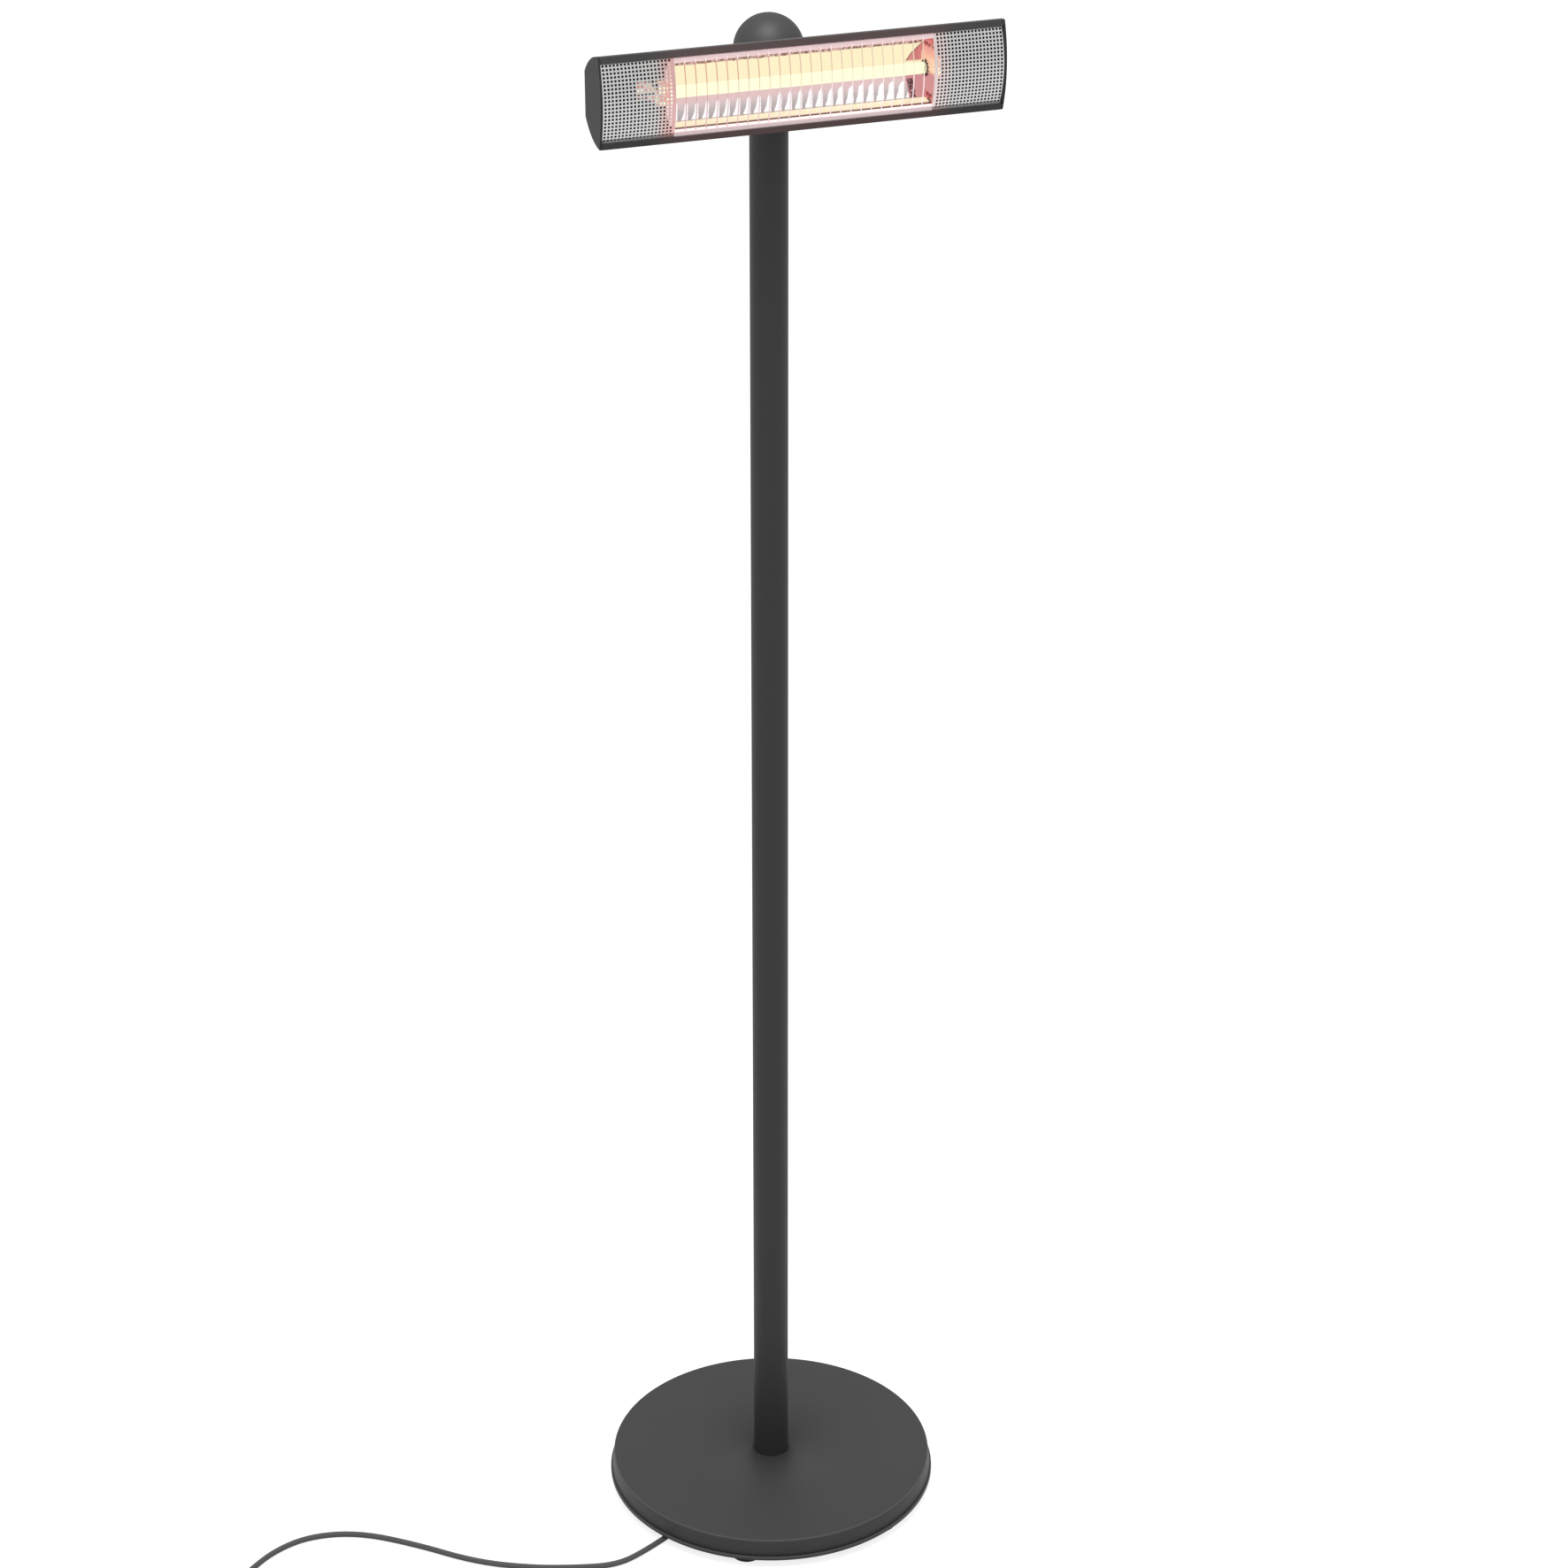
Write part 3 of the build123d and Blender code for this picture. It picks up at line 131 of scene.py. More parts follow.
# ---- mains cord, in metres
CORD_DIAMETER = 0.008
CORD_FLOOR = 0.00405  # height of its axis where it lies on the floor
CORD_EXIT = (-0.18895, -0.10047, 0.00435)
CORD_LANDS = (-0.2322, -0.1235, 0.00435)
CORD_ROUTE = [  # from there along the floor
    (-0.2786, -0.1390), (-0.3335, -0.1249), (-0.3929, -0.1027), (-0.4598, -0.0631), (-0.5244, 0.0021),
    (-0.5917, 0.0558), (-0.6583, 0.0721), (-0.7136, 0.0561), (-0.7584, 0.0220), (-0.7852, -0.0019),
]
COIL_STUB = 0.032  # straight run before the first turn and after the last
COIL_OUTER = 0.049  # axis radius of the outermost turn
COIL_PITCH = 0.0083  # one turn lies beside the next
COIL_TURNS_IN = 2.0
COIL_STEPS = 24  # points a turn

SIDES = ((-1, "left"), (1, "right"))


# ---- node trees
def colour(value):
    """Linear colour of a grey number, of three linear parts or of a screen colour's text."""
    if isinstance(value, float):
        return value, value, value
    if isinstance(value, tuple):
        return value
    parts = [int(value[i:i + 2], 16) / 255 for i in (1, 3, 5)]
    return tuple(p / 12.92 if p <= 0.04045 else ((p + 0.055) / 1.055) ** 2.4 for p in parts)


def sums(operation):
    return lambda first, *second: first.graph.maths(operation, first, *second)


class Signal:
    """Output of a node, for use in sums."""

    __add__, __sub__, __mul__ = sums("ADD"), sums("SUBTRACT"), sums("MULTIPLY")
    __truediv__, __pow__, __abs__ = sums("DIVIDE"), sums("POWER"), sums("ABSOLUTE")

    def __init__(self, graph, socket):
        self.graph, self.socket = graph, socket

    def __rsub__(self, other):
        return self.graph.maths("SUBTRACT", other, self)

    def span(self, low, high, first=0.0, last=1.0, kind="LINEAR"):
        """Straight change from first to last as this goes from low to high."""
        return self.graph.add(
            "ShaderNodeMapRange", 0, ("interpolation_type", kind),
            value=self, from_min=low, from_max=high, to_min=first, to_max=last,
        )

    def step(self, low, high):
        """Smooth change from 0 to 1 as this goes from low to high."""
        return self.span(low, high, kind="SMOOTHSTEP")

    def between(self, low, high):
        """Straight change from low to high as this goes from 0 to 1."""
        return self.span(0.0, 1.0, low, high)

    def ramp(self, stops):
        """Colours at places from 0 to 1, the two ends first."""
        node = self.graph.node("ShaderNodeValToRGB", fac=self)
        elements = node.color_ramp.elements
        for index, (place, tone) in enumerate(stops):
            element = elements[index] if index < 2 else elements.new(place)
            element.position = place
            element.color = (*colour(tone), 1)
        return Signal(self.graph, node.outputs["Color"])

    def mix(self, first, second):
        """First colour where this is 0, second where it is 1."""
        node = self.graph.tree.nodes.new("ShaderNodeMix")
        node.data_type = "RGBA"
        sockets = [node.inputs[0]] + [socket for socket in node.inputs if socket.type == "RGBA"]
        for socket, value in zip(sockets, (self, first, second)):
            self.graph.link(value, socket)
        return Signal(self.graph, next(socket for socket in node.outputs if socket.type == "RGBA"))


class Graph:
    """Node tree whose nodes are added and fed in one step."""

    def __init__(self, tree):
        self.tree = tree

    def link(self, value, socket):
        if isinstance(value, Signal):
            self.tree.links.new(value.socket, socket)
        elif socket.type == "RGBA":
            socket.default_value = (*colour(value), 1)
        else:
            socket.default_value = value

    def feed(self, node, **inputs):
        """Feeds a node's inputs, named in small letters with underscores."""
        for name, value in inputs.items():
            self.link(value, next(s for s in node.inputs if s.name.lower().replace(" ", "_") == name))

    def node(self, kind, settings=(), **inputs):
        node = self.tree.nodes.new(kind)
        for name, value in settings:
            setattr(node, name, value)
        self.feed(node, **inputs)
        return node

    def add(self, kind, output=0, *settings, **inputs):
        """Adds a node and gives one of its outputs."""
        return Signal(self, self.node(kind, settings, **inputs).outputs[output])

    def maths(self, operation, *values, clamp=False):
        node = self.tree.nodes.new("ShaderNodeMath")
        node.operation, node.use_clamp = operation, clamp
        for socket, value in zip(node.inputs, values):
            self.link(value, socket)
        return Signal(self, node.outputs[0])

    def split(self, vector):
        parts = self.node("ShaderNodeSeparateXYZ", vector=vector).outputs
        return [Signal(self, part) for part in parts]


class Finish(Graph):
    """One material, worked out from its piece's own coordinates."""

    def __init__(self, name):
        self.material = bpy.data.materials.new(name)
        self.material.use_nodes = True
        super().__init__(self.material.node_tree)
        self.shader = self.tree.nodes["Principled BSDF"]
        self.place = self.add("ShaderNodeTexCoord", "Object")
        self.x, self.y, self.z = self.split(self.place)

    def set(self, **inputs):
        self.feed(self.shader, **inputs)
        return self

    def noise(self, scale, detail=2.0, stretch=None):
        source = self.place
        if stretch:
            source = self.add("ShaderNodeMapping", vector=self.place, scale=stretch)
        return self.add("ShaderNodeTexNoise", "Fac", vector=source, scale=scale, detail=detail)

    def chance(self, whole):
        """A number from 0 to 1 that belongs to a whole number."""
        return self.add("ShaderNodeTexWhiteNoise", "Value", ("noise_dimensions", "1D"), w=whole)

    def level(self):
        """Height above the head's middle, in millimetres."""
        return (self.z - HEAD_Z * MM) * 1000.0

    def bump(self, height, strength, distance):
        bump = self.add("ShaderNodeBump", height=height, strength=strength, distance=distance)
        return self.set(normal=bump)

    def surface(self, grain, low, high, strength, distance):
        """Roughness from low to high and a slight bump, both from one grain."""
        return self.set(roughness=grain.between(low, high)).bump(grain, strength, distance)

    def glow(self, tone, strength):
        return self.set(emission_color=tone, emission_strength=strength)


# ---- camera, light and floor
def plain_mesh(name, points, faces=()):
    """Mesh from points in millimetres."""
    mesh = bpy.data.meshes.new(name)
    mesh.from_pydata([Vector(p) * MM for p in points], [], faces)
    return mesh


def keep(name, data):
    piece = bpy.data.objects.new(name, data)
    bpy.context.scene.collection.objects.link(piece)
    return piece


def place_camera():
    data = bpy.data.cameras.new("camera")
    data.lens = CAMERA_LENS
    data.sensor_width = data.sensor_height = CAMERA_SENSOR
    data.sensor_fit = "AUTO"
    data.clip_end = 100.0
    camera = keep("camera", data)
    camera.location = CAMERA_PLACE
    camera.rotation_euler = [radians(turn) for turn in CAMERA_TURN]
    bpy.context.scene.camera = camera
    bpy.context.scene.view_settings.view_transform = "Standard"


def seen_rays(graph):
    """Is 1 for rays from the camera, a mirror or glass, and 0 for rays that only light the object."""
    rays = graph.node("ShaderNodeLightPath").outputs
    kinds = ("Camera", "Glossy", "Transmission")
    camera, mirror, glass = (Signal(graph, rays[f"Is {kind} Ray"]) for kind in kinds)
    return graph.maths("MAXIMUM", graph.maths("MAXIMUM", camera, mirror), glass)


def light_world():
    """Even grey light on the object, and plain white for what the camera and mirrors see."""
    world = bpy.data.worlds.new("studio")
    bpy.context.scene.world = world
    world.use_nodes = True
    graph = Graph(world.node_tree)
    graph.tree.nodes.clear()
    soft = graph.add("ShaderNodeBackground", color=1.0, strength=WORLD_LIGHT)
    white = graph.add("ShaderNodeBackground", color=1.0, strength=1.0)
    mix = graph.node("ShaderNodeMixShader")
    for socket, value in zip(mix.inputs, (seen_rays(graph), soft, white)):
        graph.link(value, socket)
    graph.node("ShaderNodeOutputWorld", surface=Signal(graph, mix.outputs[0]))


def lay_floor():
    half = 12000.0
    corners = [(-half, -half, 0), (half, -half, 0), (half, half, 0), (-half, half, 0)]
    mesh = plain_mesh("floor", corners, [(0, 1, 2, 3)])
    finish = Finish("pale_floor")
    finish.set(base_color=FLOOR_GREY, roughness=1.0, specular_ior_level=0.0)
    finish.glow(1.0, seen_rays(finish) * FLOOR_LIFT)
    mesh.materials.append(finish.material)
    keep("floor", mesh)


def hang_light():
    """Soft lamp overhead, so that tops are a little brighter than sides."""
    data = bpy.data.lights.new("overhead", "AREA")
    data.shape = "SQUARE"
    data.size = LAMP_SIZE
    data.energy = LAMP_POWER
    keep("overhead", data).location = LAMP_PLACE


# ---- finishes
def powder_coat(name, dark, light, specular=0.25):
    """Satin powder coat: fine orange peel and a slight drift of tone."""
    finish = Finish(name)
    grain = finish.noise(1400.0, 3.0)
    finish.drift = finish.noise(9.0, 3.0)
    finish.plain = finish.drift.mix(dark, light)
    finish.set(base_color=finish.plain, specular_ior_level=specular)
    return finish.surface(grain, 0.47, 0.63, 0.12, 0.00015)


def worn_metal(name, dark, light, rough, scale=600.0, stretch=None):
    """Bare or plated metal with fine marks."""
    finish = Finish(name)
    marks = finish.noise(scale, 4.0, stretch)
    finish.set(base_color=marks.mix(dark, light), metallic=1.0)
    return finish.surface(marks, rough - 0.1, rough + 0.12, 0.15, 0.0001)


def moulded(name, dark, light, rough=0.5, scale=900.0, specular=0.3):
    """Moulded plastic or rubber with a fine spark-eroded grain."""
    finish = Finish(name)
    grain = finish.noise(scale)
    finish.set(base_color=finish.noise(30.0).mix(dark, light), specular_ior_level=specular)
    return finish.surface(grain, rough - 0.08, rough + 0.08, 0.2, 0.0001)


def pole_paint():
    """Powder coat, with the base's shade painted in as darker colour at the pole's foot."""
    finish = powder_coat("pole_paint", 0.041, (0.045, 0.044, 0.044))
    # painted shade: darker base colour below about a quarter metre, towards the pole's foot
    painted_foot_shade = finish.drift.mix(0.025, 0.028)
    return finish.set(base_color=finish.z.step(0.27, 0.06).mix(finish.plain, painted_foot_shade))


def base_coat():
    """Powder coat, with painted highlights: a little brighter along the cover's shoulder and the
    plate's edge.
    """
    finish = powder_coat("base_paint", 0.046, 0.052)
    out = finish.maths("SQRT", finish.x * finish.x + finish.y * finish.y)
    shoulder = out.step(0.2219, 0.2227) * finish.z.step(0.0398, 0.0408)
    edge = out.step(0.2279, 0.2284) * finish.z.step(0.0150, 0.0164)
    # painted highlights along the cover's shoulder and the plate's edge
    painted_highlight = finish.maths("MAXIMUM", shoulder, edge)
    return finish.set(base_color=painted_highlight.mix(finish.plain, 0.088))


def ball_coat():
    """Powder coat of the ball: a broad soft shine that dies away towards its outline, and painted shade
    that darkens its colour there.
    """
    finish = Finish("ball_coat")
    grain = finish.noise(1400.0, 3.0)
    rim = finish.add("ShaderNodeLayerWeight", "Facing", blend=0.5) ** 1.6
    # painted shade: base colour darker towards the ball's outline
    finish.set(base_color=rim.mix((0.038, 0.036, 0.035), 0.019))
    finish.set(specular_ior_level=rim.between(0.75, 0.0))
    return finish.surface(grain, 0.50, 0.58, 0.05, 0.0001)


def head_paint():
    """Housing paint, with the lamp's light painted on as a red glow on the lips of the window."""
    finish = powder_coat("head_paint", 0.048, 0.053, 0.22)
    along = abs(finish.x).step(0.205, 0.150)
    front = finish.y.step(-0.117, -0.123)
    # painted lamp light: a red glow on the lips near the window
    return finish.glow("#6e3a3a", along * front * 0.22)


def bright_sheet():
    """Bright stainless sheet with the lamp's light painted on: a rosy tint beside the lamp's window, a
    painted highlight along the window's lower roll and a glow on the strip below it.
    """
    finish = Finish("bright_sheet")
    level = finish.level()
    away = abs(finish.x)
    marks = finish.noise(500.0, 3.0, (0.15, 1.0, 1.0))
    # painted lamp light: a pink tint in the base colour beside the window
    pink_light_zone = away.step(0.190, 0.166)
    framed = away.step(0.1628, 0.1616)
    low = level.step(-43.2, -43.8)
    lamp_tint_left = marks.mix("#cca2a0", "#dcb2b0")
    lamp_tint_right = marks.mix("#d4c6c6", "#e0d0d0")
    lamp_tint_middle = marks.mix("#dcc4c6", "#e8d0d2")
    lamp_tint = finish.x.step(-0.01, 0.01).mix(lamp_tint_left, lamp_tint_right)
    lamp_tint = framed.mix(lamp_tint, lamp_tint_middle)
    lamp_tint = (low * framed).mix(lamp_tint, "#e2cece")
    middle = away.step(0.1640, 0.1620)
    upper = middle * level.step(-43.8, -43.2)
    lower = middle * low
    # painted highlight along the window's lower roll
    roll = level.step(-38.0, -39.0) * level.step(-41.9, -41.3) * upper
    tone = roll.mix("#c89698", "#fff0ec")
    # painted lamp light: glow over the window's columns, its lower roll and the strip below it
    strength = upper * 0.10 + roll * 0.45 + lower * 0.55 + pink_light_zone * 0.02
    finish.glow(lower.mix(tone, "#cdbcbe"), strength)
    finish.set(base_color=pink_light_zone.mix(marks.mix(0.56, 0.62), lamp_tint))
    finish.set(metallic=low.between(1.0, 0.15))
    return finish.surface(marks, 0.22, 0.34, 0.08, 0.0001)


def hot_wire():
    """Guard wire with the lamp's light and reflections painted on as a glow: brown before the
    reflector, pale before the lamp, white below it and at its tip.
    """
    finish = Finish("hot_wire")
    level = finish.level()
    right = finish.x.step(-0.15, 0.12)
    over = right.mix("#ce8c76", "#dec6ac")
    before = right.mix("#e2c8a0", "#f0eec4")
    below = right.mix("#ce9ea4", "#fcf0f2")
    tone = level.step(12.5, 15.5).mix(before, over)
    tone = level.step(1.5, -1.5).mix(tone, below)
    tone = level.step(38.0, 39.5).mix(tone, "#fcecec")
    # painted lamp light and reflections: the wire glows with these tones
    return finish.set(base_color=(0.16, 0.13, 0.13), metallic=0.7, roughness=0.35).glow(tone, 0.88)


def glowing_tube():
    """Quartz tube, white-hot from end to end, fading at its seals."""
    finish = Finish("glowing_tube")
    ends = abs(finish.x).step(0.1655, 0.1715)
    tone = ends.mix("#fcffd9", "#eb966e")
    return finish.set(base_color=(0.02, 0.02, 0.015), roughness=0.08).glow(tone, 1.0)


def hot_coil():
    finish = Finish("hot_coil")
    tone = finish.noise(300.0).mix("#ffd68c", "#fff4cd")
    return finish.set(base_color=(0.1, 0.05, 0.02)).glow(tone, 1.4)


def painted_wire_reflections(finish, run, level, offset, starts, stoutness):
    """Mask of painted white reflections of the guard wires, shaped like flames, one for each wire: each
    starts at its own height, widens as it falls and hooks to the left at its foot."""
    fall = level.span(REFLECTION_TOP, REFLECTION_FOOT)
    cycle = run / WIRE_PITCH + offset + fall * REFLECTION_LEAN
    start = finish.chance(finish.maths("FLOOR", cycle)).between(*starts)
    grown = finish.maths("DIVIDE", fall - start, 1.0 - start, clamp=True)
    quick = finish.maths("MULTIPLY", grown, 4.0, clamp=True)
    ragged = (finish.noise(260.0, 3.0) - 0.5) * 0.12
    off_spine = finish.maths("FRACT", cycle) - 0.5 + ragged
    stout = (run * 0.0019 + 1.32) * stoutness
    spread_left = grown ** 4.0 * 0.27 + quick * 0.16 + grown * 0.10
    spread_right = grown * 0.05 + quick * 0.13
    left_side = (off_spine + stout * spread_left).step(0.0, 0.05)
    right_side = (stout * spread_right - off_spine).step(0.0, 0.05)
    return left_side * right_side * grown.step(0.0, 0.12) * level.step(-35.5, -35.0)


def lit_reflector():
    """Polished trough with the lamp's light painted on as a glow: bands of painted reflection and shade
    follow its folds, and each guard wire has a painted white reflection, shaped like a flame, on its
    lower wall."""
    finish = Finish("lit_reflector")
    level = finish.level()
    run = finish.x * 1000.0
    # painted reflection bands of the lamp, with thin dark lines of painted shade at the folds
    tones = level.span(-55.0, 55.0).ramp([
        (0.0, "#5c3634"), (1.0, "#966462"),
        (0.1445, "#623c38"), (0.1468, "#faecc8"), (0.1740, "#fceecc"),
        (0.1762, "#845c54"), (0.1790, "#a69b9d"), (0.2500, "#b6aaaa"),
        (0.2900, "#c8b8b6"), (0.3300, "#dcbebe"), (0.4080, "#e2beb8"),
        (0.4180, "#faeec5"), (0.7480, "#faeec5"),
    ])
    # painted shade: a dark ragged band along the top, under the window's upper edge
    rim = (level - (finish.noise(190.0, 3.0) * 3.4 + 27.6)).step(0.0, 0.5)
    top_shade_noise = finish.noise(240.0, 1.0, (1.0, 1.0, 0.3))
    tones = rim.mix(tones, top_shade_noise.ramp([(0.44, "#744644"), (0.58, "#cc9c9e")]))

    reflections = painted_wire_reflections(finish, run, level, 39.87, (0.0, 0.12), 1.0)
    second = painted_wire_reflections(finish, run, level, 40.09, (0.02, 0.26), 0.5) * run.step(10.0, 60.0)
    tones = finish.maths("MAXIMUM", reflections, second).mix(tones, "#fffdfd")

    # painted reflection of the right end plate: a slanted red field above the lamp, a dark ragged patch
    # below
    slant = run - (level * 0.72 + 137.0)
    above = level.step(5.0, 7.0) * slant.step(0.0, 0.6)
    above_tone = slant.step(0.6, 3.0).mix("#70302e", "#d07a78")
    tones = above.mix(tones, above_tone)
    patch_side = abs(run - 147.0) + finish.noise(330.0) * 3.0
    patch = patch_side.step(5.8, 5.0) * level.step(-14.5, -16.5)
    # painted glints in the reflected patch
    glints = finish.noise(520.0, 1.0, (1.0, 1.0, 0.7)).step(0.54, 0.60)
    patch_tone = glints.mix("#381a1e", "#c48286")
    below = level.step(-5.0, -7.0) * level.step(-35.6, -35.2)
    corner = run.step(CORNER_START, CORNER_START + 0.5) * below
    tones = corner.mix(tones, patch.mix("#ce8e90", patch_tone))

    return finish.set(base_color=(0.10, 0.09, 0.09), metallic=1.0, roughness=0.12).glow(tones, 0.93)


def lit_end_plate():
    """End of the trough, with the lamp's light painted on as a glow: red to peach above the lamp,
    salmon below it, paler on its outer face.
    """
    finish = Finish("lit_end_plate")
    level = finish.level()
    up = level.span(-40.0, 40.0)
    inner = up.ramp([
        (0.0, "#be464a"), (1.0, "#c44a4e"), (0.12, "#ce8e8e"), (0.44, "#cb8a8a"),
        (0.50, "#f6cea8"), (0.66, "#f4c0a0"), (0.88, "#e08a88"),
    ])
    # painted shade and red lamp light in ragged bits near the corners
    corner_bits = abs(level).step(25.0, 30.0) * finish.noise(170.0).step(0.46, 0.50)
    bit_tone = finish.noise(330.0, 1.0).step(0.46, 0.54).mix("#2c1618", "#c4303c")
    inner = corner_bits.mix(inner, bit_tone)
    outer = up.ramp([
        (0.0, "#fae2e2"), (1.0, "#f0c4c2"), (0.34, "#ffeeec"),
        (0.42, "#fff8e2"), (0.54, "#fffae2"), (0.62, "#ffd8c8"),
    ])
    tone = abs(finish.x).step(0.1622, 0.1626).mix(inner, outer)
    return finish.set(base_color=(0.08, 0.06, 0.05), metallic=0.8, roughness=0.3).glow(tone, 0.95)


def hot_ceramic():
    """Cream ceramic, with the lamp's orange light painted round the lamp's end as a glow."""
    finish = Finish("hot_ceramic")
    grain = finish.noise(700.0, 3.0)
    spots = finish.noise(160.0, 1.0).step(0.42, 0.60)
    finish.set(base_color=grain.mix((0.62, 0.58, 0.50), (0.74, 0.70, 0.62)), roughness=0.65)
    # painted lamp light: orange glow near the lamp's end
    finish.glow(spots.mix("#c45c46", "#ffe2b2"), abs(finish.x).step(0.197, 0.172) * 1.1)
    return finish.bump(grain, 0.2, 0.0002)


def hot_bracket():
    """Sheet bracket behind the grille, painted dark for the shade inside the head, with the lamp's
    light painted on near the lamp's end.
    """
    finish = Finish("hot_bracket")
    marks = finish.noise(400.0, 3.0)
    spots = finish.noise(150.0, 1.0).step(0.40, 0.58)
    # painted shade: near-black colour for the dark inside of the head
    dark = marks.mix((0.035, 0.030, 0.028), (0.060, 0.052, 0.050))
    near_lamp = abs(finish.level() + 2.0).step(13.0, 6.0) * finish.x.step(0.02, -0.02)
    # painted lamp light: glow near the lamp's end
    finish.set(base_color=dark, metallic=0.6).glow(spots.mix("#d6826c", "#ffe8c8"), near_lamp)
    return finish.surface(marks, 0.5, 0.7, 0.15, 0.0001)


def hot_spring():
    """Spring steel, dark red, with the lamp's red light painted on as a faint glow."""
    finish = Finish("hot_spring")
    grain = finish.noise(900.0)
    dark = grain.mix((0.05, 0.02, 0.016), (0.08, 0.03, 0.024))
    finish.set(base_color=dark, metallic=0.5, roughness=0.6)
    # painted lamp light: faint red glow
    return finish.glow(grain.mix("#56241e", "#6e3026"), 0.3)


# ---- building meshes
def evenly(first, last, steps):
    return [first + (last - first) * step / steps for step in range(steps + 1)]


def tidy_mesh(mesh, edge=35.0, ease=0.0, ease_from=30.0):
    """Joins doubled points, turns faces outwards, eases sharp edges and shades the rest smooth."""
    work = bmesh.new()
    work.from_mesh(mesh)
    bmesh.ops.remove_doubles(work, verts=work.verts, dist=1e-7)
    bmesh.ops.recalc_face_normals(work, faces=work.faces)
    if ease:
        limit = radians(ease_from)
        sharp = [e for e in work.edges if len(e.link_faces) == 2 and e.calc_face_angle() > limit]
        bmesh.ops.bevel(work, geom=sharp, offset=ease, segments=2, affect="EDGES", clamp_overlap=True)
    for face in work.faces:
        face.smooth = True
    limit = radians(edge)
    for line in work.edges:
        line.smooth = len(line.link_faces) == 2 and line.calc_face_angle() < limit
    work.to_mesh(mesh)
    work.free()


def shape(name, points, faces, finish, edge=35.0, ease=0.0):
    mesh = plain_mesh(name, points, faces)
    mesh.materials.append(finish.material)
    tidy_mesh(mesh, edge, ease * MM)
    return keep(name, mesh)


def bridge(rings, count, closed=True, section_open=False, start=0):
    """Faces between neighbouring rings of points, from the last ring to the first if closed."""
    faces = []
    for ring in range(rings if closed else rings - 1):
        near, far = start + ring * count, start + (ring + 1) % rings * count
        for i in range(count - section_open):
            j = (i + 1) % count
            faces.append((near + i, near + j, far + j, far + i))
    return faces


def caps(rings, count, start=0):
    """Faces that close the first and the last ring."""
    last = start + (rings - 1) * count
    return [tuple(range(start, start + count)), tuple(range(last, last + count))]


def turned(name, profile, finish, steps, edge=35.0):
    """Closed ring turned about the upright axis from (radius, height) points in millimetres."""
    turns = evenly(0.0, 2 * pi, steps)[:-1]
    points = [(r * cos(t), r * sin(t), z) for t in turns for r, z in profile]
    return shape(name, points, bridge(steps, len(profile)), finish, edge)


def round_bar(name, y, z, profile, finish, steps=48):
    """Turned about an axis along X from (x, radius) points in millimetres."""
    turns = evenly(0.0, 2 * pi, steps)[:-1]
    points = [(x, y + r * cos(t), z + r * sin(t)) for t in turns for x, r in profile]
    return shape(name, points, bridge(steps, len(profile), section_open=True), finish)


def prism(name, near, far, finish, ease=0.0):
    """Solid between two outlines with as many points each."""
    count = len(near)
    faces = [tuple(range(count)), tuple(reversed(range(count, 2 * count)))]
    for i in range(count):
        j = (i + 1) % count
        faces.append((i, i + count, j + count, j))
    return shape(name, near + far, faces, finish, ease=ease)


def along_x(name, outline, low, high, finish, ease=0.0):
    """Bar with a (y, height) outline between two X values, its edges eased."""
    near, far = ([(x, y, z) for y, z in outline] for x in (low, high))
    return prism(name, near, far, finish, ease)


def bulged(start, end, rise, steps, shrink=0.0):
    """Arc that stands out by rise to the right of the way from start to end, then shrinks inwards."""
    start, end = Vector(start), Vector(end)
    chord = end - start
    radius = (chord.length ** 2 / 4 + rise ** 2) / (2 * rise)
    outward = Vector((chord.y, -chord.x)).normalized()
    centre = (start + end) / 2 + outward * (rise - radius)
    first = atan2(start.y - centre.y, start.x - centre.x)
    half = asin(chord.length / 2 / radius)
    turn = -2 * half if chord.cross(outward) > 0 else 2 * half
    inner, turns = radius - shrink, evenly(first, first + turn, steps)
    return [(centre.x + inner * cos(a), centre.y + inner * sin(a)) for a in turns]


def lifted(points):
    return [(y, z + HEAD_Z) for y, z in points]


def on_arc(radius, height):
    """Y of a point on an arc about the sheet's axis."""
    return SHEET_AXIS - sqrt(radius ** 2 - height ** 2)


def head_outline(shrink=0.0):
    """Side outline of the head as (y, height above its middle)."""
    front = bulged((HEAD_FRONT, HEAD_HALF), (HEAD_FRONT, -HEAD_HALF), FRONT_RISE, 32, shrink)
    low = bulged((HEAD_FRONT, -HEAD_HALF), (HEAD_BACK, -HEAD_BACK_HALF), SIDE_RISE, 16, shrink)
    high = bulged((HEAD_BACK, HEAD_BACK_HALF), (HEAD_FRONT, HEAD_HALF), SIDE_RISE, 16, shrink)
    return front, low, high


def joined(name, *pieces):
    """One piece made of several meshes that lie at the origin."""
    work = bmesh.new()
    for piece in pieces:
        work.from_mesh(piece.data)
    mesh = bpy.data.meshes.new(name)
    work.to_mesh(mesh)
    work.free()
    mesh.materials.append(pieces[0].data.materials[0])
    for piece in pieces:
        bpy.data.objects.remove(piece)
    return keep(name, mesh)


def settled(piece):
    """Makes what a piece's modifier shows its plain mesh."""
    shown = piece.evaluated_get(bpy.context.evaluated_depsgraph_get())
    mesh = bpy.data.meshes.new_from_object(shown)
    piece.modifiers.clear()
    piece.data = mesh
    tidy_mesh(mesh)
    return piece


def cut(piece, tool):
    """Takes a tool's solid out of a piece, then drops the tool."""
    modifier = piece.modifiers.new("cut", "BOOLEAN")
    modifier.operation = "DIFFERENCE"
    modifier.solver = "EXACT"
    modifier.object = tool
    settled(piece)
    bpy.data.objects.remove(tool)
    return piece


def fit(piece, body, slot, *nodes):
    """Gives a piece its body and hides the solids that it stands for; the slot is not used."""
    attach(piece, body)
    if nodes:
        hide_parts(*nodes)
    return piece


